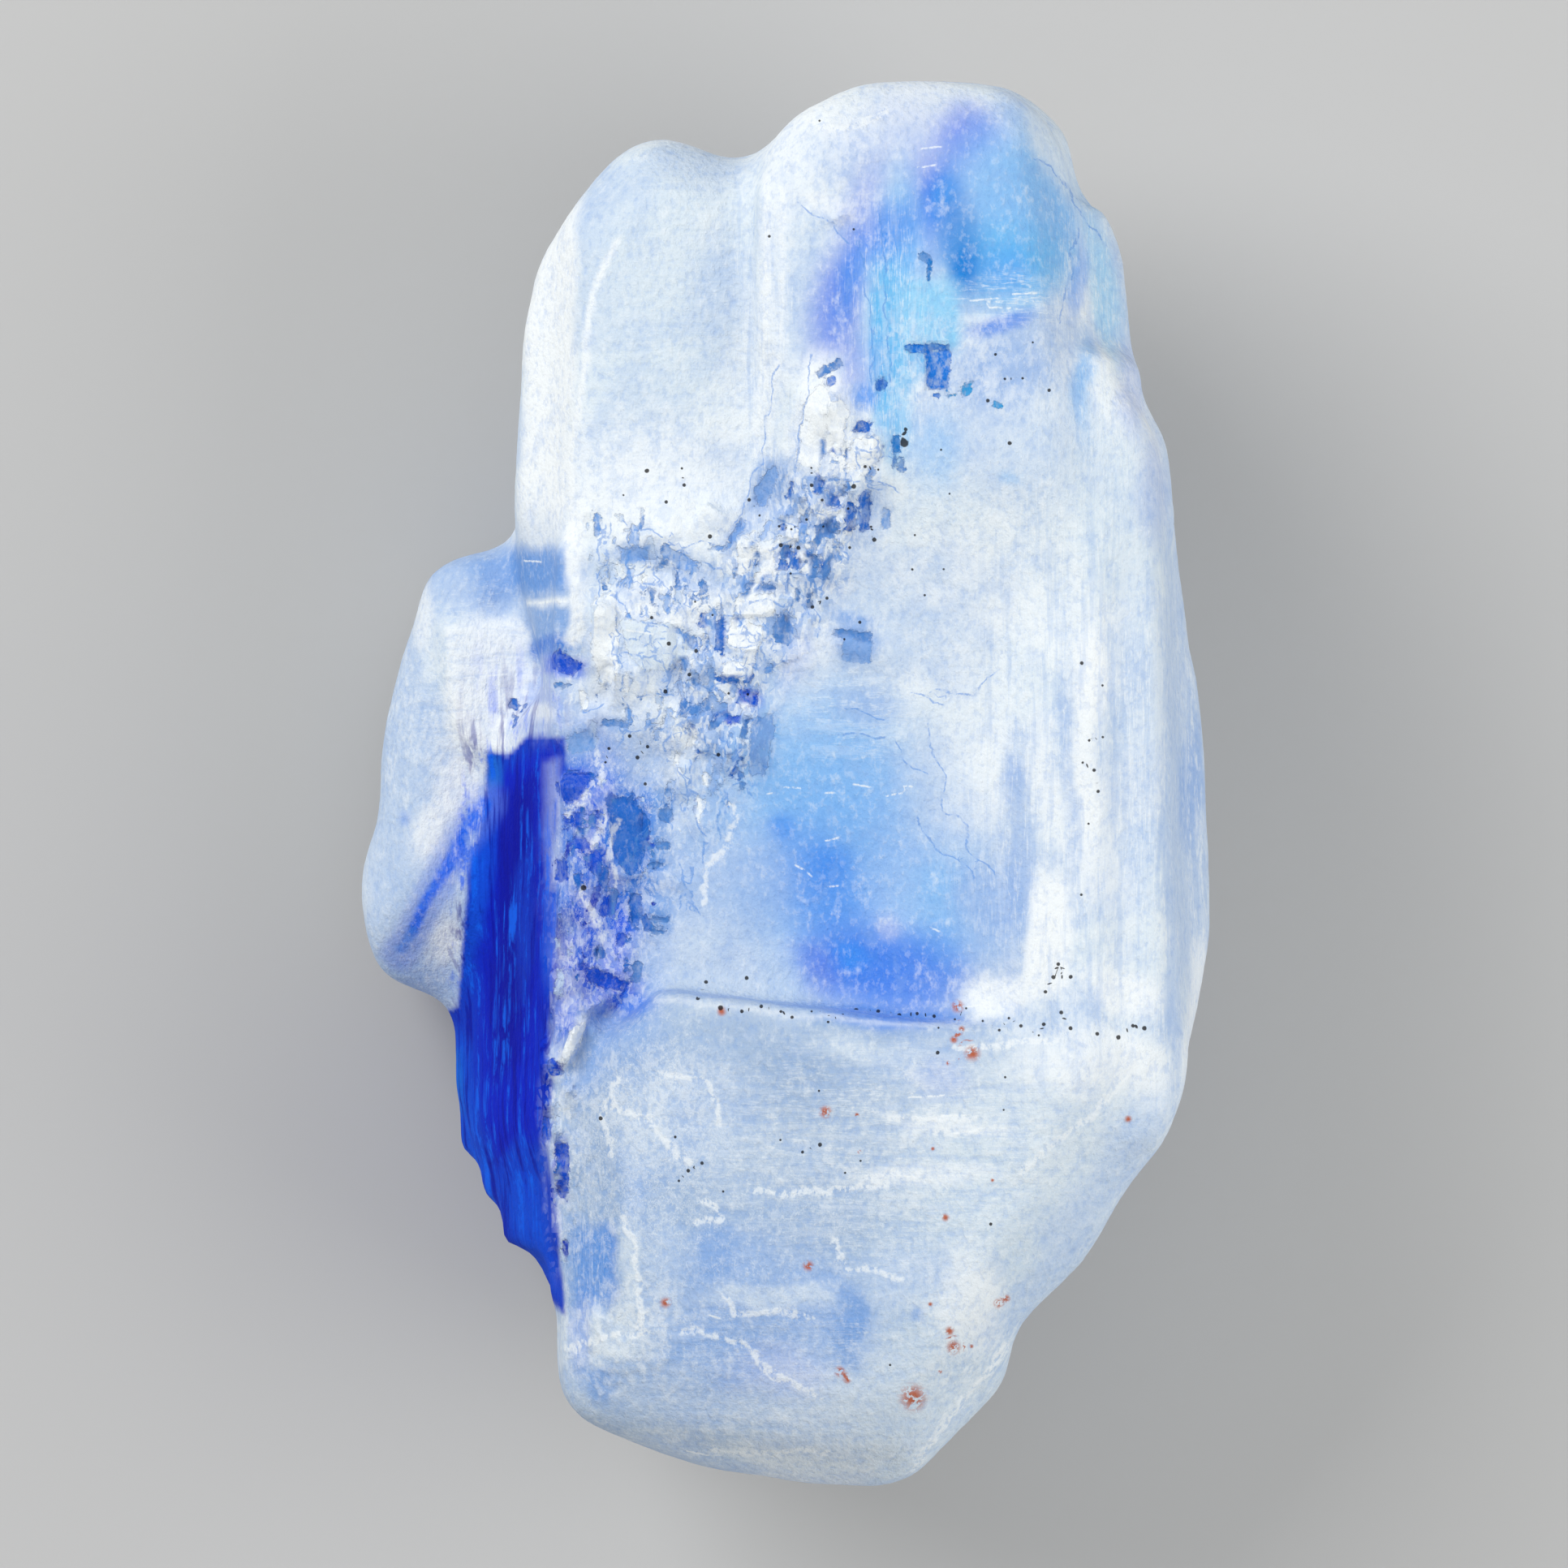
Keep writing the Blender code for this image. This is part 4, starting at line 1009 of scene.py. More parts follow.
# %% Colour clouds of the crest
CREST_CLOUDS = [
    (744, 1090, 68, 178, 2, "slate", 0.95, 0.4), (804, 1090, 22, 110, 0, "grey_blue", 0.6, 0.6),
    (768, 935, 44, 30, 0, "haze", 0.8, 0.6), (732, 1090, 60, 160, 0, "steel", 0.9, 0.5),
    (736, 1180, 44, 70, 10, "royal", 0.75, 0.6), (722, 1060, 38, 130, 0, "royal", 0.5, 0.7),
    (716, 914, 22, 18, 0, "mist", 0.8, 0.5), (760, 892, 20, 8, 4, "grey_blue", 0.7, 0.5),
    (678, 1010, 9, 84, 2, "lilac", 0.9, 0.4), (706, 968, 22, 20, 0, "royal", 1.0, 0.3),
    (772, 1026, 28, 50, -4, "steel", 0.95, 0.35), (724, 1008, 28, 12, -6, "royal", 0.7, 0.5),
    (716, 1126, 16, 44, 6, "cobalt", 0.6, 0.5), (764, 1150, 14, 34, -6, "royal", 0.8, 0.5),
    (742, 990, 14, 30, 10, "royal", 0.7, 0.5), (752, 1074, 12, 24, 0, "cobalt", 0.5, 0.5),
    (728, 1048, 20, 16, 30, "cobalt", 0.8, 0.5), (690, 1072, 10, 20, 0, "royal", 0.8, 0.5),
    (746, 1112, 10, 18, 10, "royal", 0.7, 0.5), (692, 1200, 14, 70, 0, "cobalt", 0.75, 0.5),
    (748, 1216, 40, 30, 14, "royal", 0.95, 0.4), (736, 1204, 26, 12, 20, "cobalt", 0.9, 0.4),
    (784, 1236, 20, 12, 10, "cornflower", 0.7, 0.6), (700, 1250, 24, 40, 10, "royal", 0.7, 0.5),
    (782, 1118, 8, 18, 0, "steel", 0.8, 0.4), (808, 1066, 10, 6, 0, "slate", 0.8, 0.4),
    (814, 1140, 13, 16, 0, "slate", 0.7, 0.4), (820, 1004, 12, 12, 0, "grey_blue", 0.7, 0.4),
    (808, 1180, 30, 40, 0, "haze", 0.6, 0.6), (720, 1310, 24, 40, 10, "slate", 0.6, 0.5),
    (704, 1288, 7, 38, 24, "white", 0.95, 0.4), (760, 1300, 50, 50, 0, "mist", 0.6, 0.7),
    (692, 1440, 10, 36, 0, "cobalt", 1.0, 0.3), (673, 1390, 5, 18, 0, "royal", 0.9, 0.4),
    (684, 1500, 7, 70, -4, "lilac", 0.7, 0.5),
]
print("clouds of the crest:", len(CREST_CLOUDS))

# %% [markdown]
# The lower block is milky, with pale blue depths.

# %% Colour clouds of the lower block
BLOCK_CLOUDS = [
    (940, 1500, 290, 270, 0, "fog", 1.0, 0.35), (1230, 1560, 150, 240, 20, "pearl", 0.85, 0.6),
    (960, 1320, 200, 66, 0, "fog", 0.9, 0.6), (1060, 1290, 60, 18, 4, "milk", 0.6, 0.7),
    (860, 1360, 70, 60, 0, "haze", 0.9, 0.7), (810, 1400, 50, 60, 0, "mist", 0.5, 0.7),
    (950, 1430, 130, 50, 0, "milk", 0.3, 0.7), (1130, 1370, 120, 50, 0, "milk", 0.3, 0.7),
    (940, 1640, 130, 90, 0, "mist", 0.75, 0.6), (1010, 1640, 60, 70, 0, "mist", 0.9, 0.5),
    (1046, 1640, 15, 56, 2, "grey_blue", 0.85, 0.3), (900, 1550, 60, 40, 0, "mist", 0.55, 0.6),
    (870, 1600, 60, 60, 0, "mist", 0.6, 0.6), (732, 1560, 22, 46, 0, "cornflower", 0.55, 0.4),
    (735, 1580, 18, 28, 0, "slate", 0.4, 0.5), (742, 1700, 20, 26, 0, "slate", 0.5, 0.5),
    (740, 1645, 60, 30, -8, "milk", 0.7, 0.4), (815, 1560, 26, 70, 0, "haze", 0.7, 0.6),
    (900, 1720, 150, 40, 4, "haze", 0.8, 0.6), (960, 1690, 60, 30, 0, "lilac", 0.7, 0.6),
    (1130, 1310, 60, 30, 0, "haze", 0.7, 0.6), (1160, 1330, 30, 20, 0, "lilac", 0.5, 0.7),
    (1230, 1420, 120, 90, 0, "milk", 0.5, 0.7), (1190, 1600, 46, 60, 0, "white", 0.7, 0.5),
    (1370, 1450, 30, 160, 34, "haze", 0.7, 0.6), (1270, 1600, 30, 80, 42, "haze", 0.5, 0.6),
    (1350, 1310, 90, 40, 0, "white", 0.8, 0.6), (1120, 1570, 50, 40, 0, "haze", 0.8, 0.7),
    (1080, 1720, 120, 60, 0, "milk", 0.5, 0.7), (1200, 1440, 50, 30, 0, "pearl", 0.8, 0.7),
    (840, 1790, 70, 14, 12, "haze", 0.6, 0.5), (1134, 1626, 8, 9, 0, "slate", 0.5, 0.6),
    (776, 1530, 14, 110, 2, "milk", 0.7, 0.5), (722, 1556, 24, 52, 0, "slate", 0.75, 0.35),
    (716, 1640, 14, 50, 0, "cornflower", 0.5, 0.5), (780, 1450, 20, 70, 0, "mist", 0.7, 0.6),
    (884, 1540, 22, 28, 0, "grey_blue", 0.55, 0.4), (950, 1600, 80, 12, 4, "milk", 0.6, 0.5),
    (1150, 1450, 90, 14, 2, "white", 0.6, 0.5), (1170, 1385, 70, 10, 4, "white", 0.6, 0.5),
    (796, 1370, 40, 66, 10, "milk", 0.45, 0.5), (880, 1680, 70, 40, 0, "grey_blue", 0.35, 0.7),
]
print("clouds of the lower block:", len(BLOCK_CLOUDS))

# %% [markdown]
# The left side is where the colour is strongest. The wall of the rib is so deep a blue that it
# is nearly ink, with royal streaks. It needs an outline of its own, and so do a few sharper
# patches: each has a colour, its strength, the softness of its edge in pixels and its corners.

# %% The blue rib and the patches
RIB = [
    (600, 925), (622, 930), (650, 905), (697, 910), (699, 950), (684, 968), (688, 1010),
    (680, 1060), (686, 1100), (682, 1160), (690, 1215), (676, 1262), (682, 1330), (672, 1400),
    (684, 1470), (696, 1620), (640, 1560), (600, 1490), (540, 1450), (530, 1260), (562, 1240),
    (570, 1180), (577, 1080), (590, 1030), (600, 980),
]
PATCHES = [
    ("cobalt", 1.0, 4, RIB),
    ("ultramarine", 0.85, 14, [(612, 952), (660, 925), (692, 918), (674, 970), (668, 1100),
        (672, 1250), (662, 1400), (656, 1480), (612, 1440), (592, 1380), (586, 1280), (590, 1180),
        (598, 1080), (606, 1020)]),
    ("ink", 0.9, 20, [(625, 985), (658, 950), (662, 1060), (655, 1200), (640, 1300), (612, 1330),
        (604, 1240), (612, 1100)]),
    ("royal", 0.8, 10, [(562, 1270), (578, 1290), (584, 1400), (604, 1450), (570, 1450),
        (540, 1364)]),
    ("royal", 0.6, 8, [(598, 985), (612, 960), (612, 1060), (590, 1160), (574, 1200), (580, 1090)]),
    ("royal", 0.5, 10, [(612, 1440), (640, 1400), (668, 1420), (676, 1500), (690, 1600),
        (640, 1540)]),
    ("cobalt", 0.8, 8, [(640, 1060), (652, 1040), (656, 1180), (644, 1240), (636, 1150)]),
    ("teal", 0.6, 8, [(540, 1300), (566, 1296), (570, 1370), (550, 1380)]),
    ("royal", 0.6, 6, [(672, 1100), (688, 1100), (684, 1200), (676, 1230), (668, 1180)]),
    ("steel", 0.8, 5, [(600, 930), (616, 932), (618, 966), (602, 972)]),
    ("lilac", 0.55, 9, [(672, 940), (690, 936), (686, 1010), (688, 1090), (678, 1096),
        (672, 1020)]),
    ("white", 0.75, 4, [(547, 770), (640, 764), (655, 776), (650, 856), (626, 862), (622, 922),
        (572, 914), (552, 860)]),
    ("white", 0.95, 4, [(700, 640), (716, 640), (716, 780), (706, 796), (692, 790), (700, 770)]),
    ("white", 0.7, 5, [(1270, 1096), (1314, 1090), (1318, 1220), (1200, 1256), (1204, 1214),
        (1262, 1200)]),
    ("ice", 0.9, 5, [(1120, 352), (1136, 344), (1182, 376), (1178, 424), (1121, 425)]),
    ("cyan", 0.8, 5, [(1118, 434), (1140, 434), (1141, 456), (1122, 476)]),
    ("slate", 0.55, 7, [(710, 1528), (748, 1524), (752, 1596), (712, 1602)]),
    ("grey_blue", 0.6, 7, [(1030, 1596), (1060, 1590), (1062, 1694), (1040, 1690), (1020, 1640)]),
    ("grey_blue", 0.6, 6, [(722, 1686), (748, 1684), (750, 1724), (728, 1726)]),
]
print("patches:", len(PATCHES))

# %% [markdown]
# From the rib a blue vein runs out into the pale lobe, and white seams follow the edges of the
# cleavage blocks. A thin slate line along the ledge is painted shade. Each has a colour, its
# strength, its width in pixels and its line.

# %% Veins, seams and painted shade along the ledge
VEINS = [
    ("violet", 0.5, 26, [(600, 985), (562, 1052), (520, 1128), (492, 1172)]),
    ("bright_royal", 0.95, 10, [(598, 990), (578, 1024), (552, 1074)]),
    ("bright_royal", 0.9, 9, [(546, 1082), (526, 1112), (508, 1144)]),
    ("cornflower", 0.7, 7, [(506, 1146), (494, 1168)]),
    ("white", 0.8, 5, [(760, 300), (735, 350), (722, 420), (712, 500), (705, 560), (700, 680)]),
    ("white", 0.7, 5, [(944, 215), (946, 330), (940, 450), (930, 560)]),
    ("white", 0.6, 4, [(962, 230), (966, 330), (960, 420)]),
    ("white", 0.8, 5, [(655, 742), (700, 741)]),
    ("white", 0.4, 4, [(806, 1233), (870, 1239), (980, 1248), (1063, 1255), (1190, 1268)]),
    # Painted shade along the ledge.
    ("slate", 0.35, 3, [(800, 1222), (860, 1226), (980, 1236), (1063, 1243), (1190, 1256)]),
]
print("veins and seams:", len(VEINS))

# %% [markdown]
# A vertex takes its colour from milk, then from three broad tints that drift through the whole
# stone, then from the clouds, patches and veins. Clouds show only above a height in mm, so that
# they stay on their own lobe, and their edges wander by some pixels.

# %% Lay the clouds
PLACED_CLOUDS = [
    (BLOCK_CLOUDS, 9.0, 14.0), (UPPER_CLOUDS, 11.0, 8.0), (MIDDLE_CLOUDS, 12.0, 9.0),
    (COLUMN_CLOUDS_AND_PAINTED_LIGHT, 9.0, 8.0), (LOBE_CLOUDS, 2.0, 5.0), (CREST_CLOUDS, 11.0, 6.0),
]
DRIFTS = [("haze", 0.6), ("mist", 0.35), ("white", 0.5)]
DRIFT_WANDER = (5.0, 1.0, 3)  # grain in mm, reach, octaves
CLOUD_WANDER = (2.2, 1.0, 4)
PATCH_REACH = 5.0         # pixels that patches and veins wander by


def segment_distance(seen, start, end):
    """Distance to a segment, and the signed distance to its line."""
    start, end = np.array(start, float), np.array(end, float)
    run = end - start
    part = np.clip(((seen - start) @ run) / (run @ run), 0.0, 1.0)
    gap = np.linalg.norm(seen - start - part[:, None] * run, axis=1)
    side = (seen - start) @ np.array((-run[1], run[0])) / np.linalg.norm(run)
    return gap, side


def outline_distance(seen, corners):
    """Distance to an outline of any form, below zero inside."""
    near = np.full(len(seen), 1e9)
    inside = np.zeros(len(seen), bool)
    for start, end in zip(corners, corners[1:] + corners[:1]):
        near = np.minimum(near, segment_distance(seen, start, end)[0])
        if start[1] != end[1]:
            crossed = (seen[:, 1] < start[1]) != (seen[:, 1] < end[1])
            slope = (end[0] - start[0]) / (end[1] - start[1])
            inside ^= crossed & (seen[:, 0] < start[0] + (seen[:, 1] - start[1]) * slope)
    return np.where(inside, -near, near)


def vein_distance(seen, line):
    """Distance to a line of several segments."""
    return np.min([segment_distance(seen, a, b)[0] for a, b in zip(line, line[1:])], axis=0)


def glaze(base, name, share):
    """Lays a colour of the palette over the colours so far, where its share says."""
    base += (PALETTE[name] - base) * share[:, None]


def write_clouds(mesh):
    """Lays the clouds over each other and keeps the colour of each vertex."""
    points, _ = points_of(mesh)
    plain = in_photo(points)
    wander = wandered(points, *CLOUD_WANDER)[:, :2]
    base = np.tile(PALETTE["milk"], (len(points), 1))
    drifts = wandered(points + 40.0, *DRIFT_WANDER)
    for (name, strength), drift in zip(DRIFTS, drifts.T):
        glaze(base, name, smooth(drift, 0.0, 0.35) * strength)
    for clouds, bottom, reach in PLACED_CLOUDS:
        seen = plain + reach * wander
        high = smooth(points[:, 2], bottom - 2.0, bottom + 2.0)
        for x, y, half_x, half_y, turn, name, strength, soft in clouds:
            share = zone_share(seen, x, y, half_x, half_y, turn, soft)
            glaze(base, name, strength * high * share)
    seen = plain + PATCH_REACH * wander
    shown = smooth(points[:, 2], 0.5, 2.0)
    for name, strength, soft, corners in PATCHES:
        far = outline_distance(seen, corners)
        glaze(base, name, strength * shown * smooth(far, soft, -soft))
    for name, strength, width, line in VEINS:
        far = vein_distance(seen, line)
        glaze(base, name, strength * shown * smooth(far, width * 1.2, width * 0.5))
    keep(mesh, "salt_colour", base)
    keep_places(mesh, points)
    return base


salt_colours = write_clouds(stone.data)
print("mean colour of the salt:", salt_colours.mean(axis=0).round(3))

# %% [markdown]
# Cracks are drawn as dark lines, which is painted shade for the light that is lost in them. Each
# is a line of pixels. The long ones are named here, and short crooked ones are strewn along the
# broken bands, upright or level as cleavage is; these stand for the shaded lines of the broken
# relief.

# %% Cracks, drawn in painted shade
CRACKS = [
    [(775, 763), (815, 768), (840, 778), (860, 798)], [(1107, 920), (1116, 940), (1135, 950)],
    [(1145, 900), (1150, 930), (1163, 958), (1165, 1000), (1190, 1012), (1193, 1048)],
    [(1130, 1010), (1150, 1038), (1180, 1060), (1197, 1080)],
    [(1193, 1048), (1208, 1060), (1222, 1078)], [(1160, 852), (1195, 856), (1230, 830)],
    [(1128, 858), (1160, 866)], [(770, 806), (800, 810), (812, 800)], [(905, 780), (938, 778)],
    [(898, 798), (920, 802), (940, 792)], [(1045, 874), (1085, 882)], [(1040, 905), (1090, 908)],
    [(960, 640), (990, 655)], [(1062, 556), (1082, 558)], [(1054, 546), (1058, 572)],
    [(956, 456), (940, 560), (905, 640)], [(1000, 440), (992, 520), (980, 580)],
    [(830, 660), (850, 690), (880, 700)], [(988, 250), (1015, 268), (1046, 300)],
    [(1275, 195), (1305, 215), (1330, 255), (1358, 300)], [(1325, 285), (1316, 340), (1305, 390)],
    [(838, 800), (815, 870), (800, 900)], [(1062, 300), (1072, 400), (1074, 470)],
    [(1085, 260), (1092, 360), (1096, 470)],
]
CRACK_BANDS = [(BROKEN_BAND[:9], 80), (SIDE_BAND, 60)]
CRACK_TURNS = (96, 84, 70, 4)     # degrees


def strewn_cracks():
    """Short crooked cracks of painted shade along the broken bands."""
    lines = []
    for band, count in CRACK_BANDS:
        for _ in range(count):
            x, y, half = along_band(band, dice.random())
            line = [(x + dice.uniform(-half, half), y + dice.uniform(-14, 14))]
            angle = math.radians(dice.choice(CRACK_TURNS) + dice.uniform(-12, 12))
            step = dice.uniform(6, 20)
            for _ in range(dice.choice((2, 2, 3))):
                bend = angle + dice.uniform(-0.5, 0.5)
                x, y = line[-1]
                line.append((x + step * math.cos(bend), y + step * math.sin(bend)))
            lines.append(line)
    return lines


all_cracks = CRACKS + strewn_cracks()
print("cracks:", len(all_cracks))

# %% [markdown]
# Healed cracks are white veils inside the salt, long and bent.

# %% Veils
VEILS = [
    [(840, 1640), (880, 1646), (920, 1660), (940, 1685), (960, 1700), (985, 1702), (1010, 1725)],
    [(920, 1660), (950, 1690), (1000, 1712)],
    [(820, 1322), (850, 1326), (870, 1335), (888, 1360), (885, 1385)],
    [(770, 1500), (778, 1540), (790, 1580), (786, 1630)], [(760, 1330), (745, 1370), (752, 1420)],
    [(1100, 1375), (1150, 1378), (1200, 1374)], [(1150, 1396), (1205, 1394)],
    [(1070, 1450), (1130, 1448)], [(880, 1785), (950, 1792), (1020, 1786)],
    [(890, 1600), (905, 1618), (950, 1616), (1000, 1622)],
    [(1030, 1530), (1046, 1560), (1110, 1576)],
    [(750, 1360), (800, 1380), (830, 1420), (850, 1430)], [(930, 1470), (1010, 1468), (1090, 1462)],
    [(868, 1480), (890, 1500), (860, 1510)], [(1000, 150), (1040, 160), (1090, 140)],
    [(905, 1000), (898, 1040), (872, 1070), (866, 1110)], [(700, 1660), (740, 1650), (790, 1640)],
    [(1180, 1290), (1240, 1286), (1300, 1280)], [(1240, 1660), (1190, 1720), (1120, 1818)],
    [(760, 1010), (750, 1050), (762, 1090)], [(742, 1000), (730, 1040)], [(720, 1100), (740, 1160)],
    [(735, 930), (742, 960), (700, 1000)], [(1260, 1440), (1340, 1380), (1400, 1310)],
]
print("veils:", len(VEILS))

# %% [markdown]
# Short white dashes are painted highlights: glints on the bright edges of single steps.

# %% Dashes of painted highlight
PAINTED_GLINT_DASHES = [
    [(984, 1068), (992, 1072), (997, 1077)], [(970, 970), (983, 971)], [(1056, 967), (1069, 969)],
    [(1096, 980), (1111, 977)], [(1108, 969), (1120, 969)], [(950, 978), (955, 978)],
    [(1021, 977), (1025, 977)], [(1021, 1093), (1028, 1092)], [(1021, 1035), (1029, 1033)],
    [(1140, 183), (1156, 181)], [(1134, 206), (1148, 204)], [(1200, 370), (1226, 368)],
    [(1222, 379), (1250, 380)], [(1250, 362), (1276, 361)], [(1148, 1144), (1153, 1146)],
    [(664, 743), (694, 741)], [(646, 691), (662, 692)], [(878, 1622), (884, 1624)],
    [(1160, 1375), (1186, 1374)], [(1180, 1396), (1198, 1394)], [(1102, 1448), (1124, 1450)],
    [(1196, 1240), (1216, 1238)], [(846, 1788), (868, 1792)], [(1124, 1352), (1160, 1350)],
    [(776, 777), (800, 781)], [(566, 789), (600, 786)], [(576, 835), (620, 831)],
]
print("dashes:", len(PAINTED_GLINT_DASHES))

# %% [markdown]
# A line is thinner than the mesh, so each vertex keeps how far it is from the nearest line and
# on which side, and the material draws the line where the side changes. The facets are kept in
# the same way, by the distance to their edge.

# %% Lines and facets on the skin
LINE_REACH = 30.0         # pixels, farther away than any line is drawn
NOT_NEAR = 1000.0
SIDE_DISTANCE = 100.0     # pixels, added where the skin doesn't face the camera
LINE_WANDER = (0.9, 7.0, 3)   # grain in mm, reach in pixels, octaves


def line_distance(seen, lines):
    """Signed distance to the nearest line, by its side, and the plain distance."""
    near = np.full(len(seen), NOT_NEAR)
    side = np.full(len(seen), NOT_NEAR)
    for line in lines:
        for start, end in zip(line, line[1:]):
            close = within(seen, (start, end), LINE_REACH)
            gap, turned = segment_distance(seen[close], start, end)
            mine = gap < near[close]
            near[close[mine]] = gap[mine]
            side[close[mine]] = turned[mine]
    return side, near


def write_lines(mesh):
    """Keeps the lines on the mesh. Cracks and veils wander a little, and dashes are straight."""
    points, normals = points_of(mesh)
    straight = in_photo(points)
    bent = wandering_places(points, LINE_WANDER)
    hidden = 1.0 - on_front(points, normals, 0.0, 0.3)
    for name, lines, seen in (
            ("crack", all_cracks, bent), ("veil", VEILS, bent), ("painted_glint", PAINTED_GLINT_DASHES, straight)):
        side, near = line_distance(seen, lines)
        near += SIDE_DISTANCE * hidden
        keep(mesh, name, np.stack((side, near, near), axis=1))


def write_facets(mesh):
    """Keeps the distance to the nearest facet, whether it is clear, and its colour."""
    nearest, tint, window, _ = facets_at(*points_of(mesh))
    keep(mesh, "facet_edge", nearest)
    keep(mesh, "facet_window", window)
    keep(mesh, "facet_colour", tint)


write_lines(stone.data)
write_facets(stone.data)
print("lines on the skin:", len(all_cracks) + len(VEILS) + len(PAINTED_GLINT_DASHES))

# %% [markdown]
# Salt picks up dirt: black grains and flakes of rust lie in the cracks and along the ledge. They
# are only colour here. The rows below are the ones that can be named: pixel column and row, and
# radius in pixels.

# %% Named specks
NAMED_SPECKS = [
    (1114, 546, 5.5), (1112, 541, 3.0), (1116, 529, 2.5), (1052, 599, 3.2), (1055, 1247, 4.5),
    (888, 1242, 3.5), (1155, 1297, 2.6), (719, 1094, 3.6), (797, 580, 2.8), (824, 793, 2.6),
    (820, 852, 2.6), (875, 661, 2.6), (885, 930, 2.4), (1410, 1267, 3.0), (1298, 1204, 2.6),
    (1001, 748, 2.4), (962, 672, 2.6), (1000, 598, 2.4), (860, 1230, 2.6), (914, 1246, 2.4),
    (920, 1205, 2.4), (740, 1378, 2.4), (865, 1433, 2.4), (1333, 817, 2.2), (1348, 949, 2.2),
    (1353, 975, 2.2), (923, 616, 2.2), (798, 920, 2.2), (795, 966, 2.2), (776, 907, 2.2),
    (1019, 737, 2.0), (803, 761, 2.0), (1013, 616, 2.0), (1244, 546, 2.6), (1066, 575, 2.2),
    (938, 1240, 2.2), (1082, 1246, 2.4), (1108, 1251, 2.8), (1130, 1249, 2.2), (1151, 1252, 2.4),
    (1258, 1264, 2.4), (1286, 1262, 2.2), (1319, 1267, 2.6), (1352, 1274, 2.4), (1378, 1278, 2.8),
    (1304, 1188, 2.2), (1288, 1222, 2.2), (1396, 1264, 2.2), (870, 1210, 2.2),
]
NAMED_RUST = [
    (1125, 1722, 17), (1198, 1298, 10), (1017, 1370, 8), (996, 1560, 7), (1180, 1240, 8),
    (1035, 1690, 7), (1044, 1700, 5), (1175, 1660, 9), (1170, 1640, 6), (889, 1246, 6),
    (1230, 1606, 6), (820, 1605, 7), (1165, 1500, 5), (1240, 1600, 5),
]
print("named specks:", len(NAMED_SPECKS) + len(NAMED_RUST))

# %% [markdown]
# Random ones lie between them, in places where dirt gathers: middle, half size and how many.

# %% Strewn specks
DIRTY_PLACES = [
    (1060, 1250, 250, 10, 26), (1250, 1262, 80, 22, 18), (1300, 1206, 16, 10, 3),
    (900, 1244, 60, 10, 6), (1000, 640, 80, 70, 14), (1040, 600, 30, 30, 4), (880, 820, 90, 90, 7),
    (800, 600, 90, 50, 8), (1110, 545, 60, 50, 4), (1340, 950, 20, 200, 6),
    (1060, 1450, 300, 220, 16), (760, 940, 40, 40, 6), (1240, 470, 60, 60, 8),
    (1100, 700, 160, 120, 10), (1010, 220, 60, 80, 4),
]
RUSTY_PLACES = [(1180, 1290, 40, 30, 6), (1200, 1640, 60, 60, 6), (1080, 1400, 200, 100, 6)]
SPECK_GAP = 15.0          # pixels, so that two specks never share one small face


def strewn_specks(named, places, smallest, largest):
    """The named specks and random ones between them."""
    rows = list(named)
    for x, y, half_x, half_y, count in places:
        for _ in range(count):
            size = smallest + (largest - smallest) * dice.random() ** 3
            here = (x + dice.gauss(0.0, 0.5) * half_x, y + dice.gauss(0.0, 0.5) * half_y)
            if all(math.dist(here, row[:2]) > SPECK_GAP for row in rows):
                rows.append((*here, size))
    return rows


grains = strewn_specks(NAMED_SPECKS, DIRTY_PLACES, 1.4, 2.8)
flakes = strewn_specks(NAMED_RUST, RUSTY_PLACES, 2.5, 6.0)
print("grains and flakes:", len(grains), len(flakes))

# %% [markdown]
# Each vertex keeps the step, in radii, to the nearest speck of each kind, so that the material
# can draw round specks that are smaller than the mesh.

# %% Specks on the skin
SPECK_REACH = 14.0        # pixels beyond its edge where a speck is still known
SPECK_UNIT = 7.0
FAR_STEP = 50.0
SIDE_STEP = 20.0          # added where the skin doesn't face the camera


def step_to_speck(seen, hidden, rows):
    """The step to the nearest speck over its radius, and a number that is below one near it."""
    step = np.full((len(seen), 3), FAR_STEP)
    for x, y, radius in rows:
        close = within(seen, [(x, y)], radius + SPECK_REACH)
        away = seen[close] - (x, y)
        beyond = (np.linalg.norm(away, axis=1) - radius) / SPECK_UNIT
        mine = beyond < step[close, 2]
        step[close[mine], :2] = away[mine] / radius
        step[close[mine], 2] = beyond[mine]
    step[:, 2] += SIDE_STEP * hidden
    return step


def write_specks(mesh):
    """Keeps the nearest grain and rust flake."""
    points, normals = points_of(mesh)
    seen = in_photo(points)
    hidden = 1.0 - on_front(points, normals, 0.0, 0.3)
    for name, rows in (("grain", grains), ("rust", flakes)):
        keep(mesh, name, step_to_speck(seen, hidden, rows))


write_specks(stone.data)
print("specks on the skin:", len(grains) + len(flakes))

# %% [markdown]
# Three more zones say how the skin is finished: where it is frosted, where a net of healed cracks
# veils it, and where the deep blue has streaks.

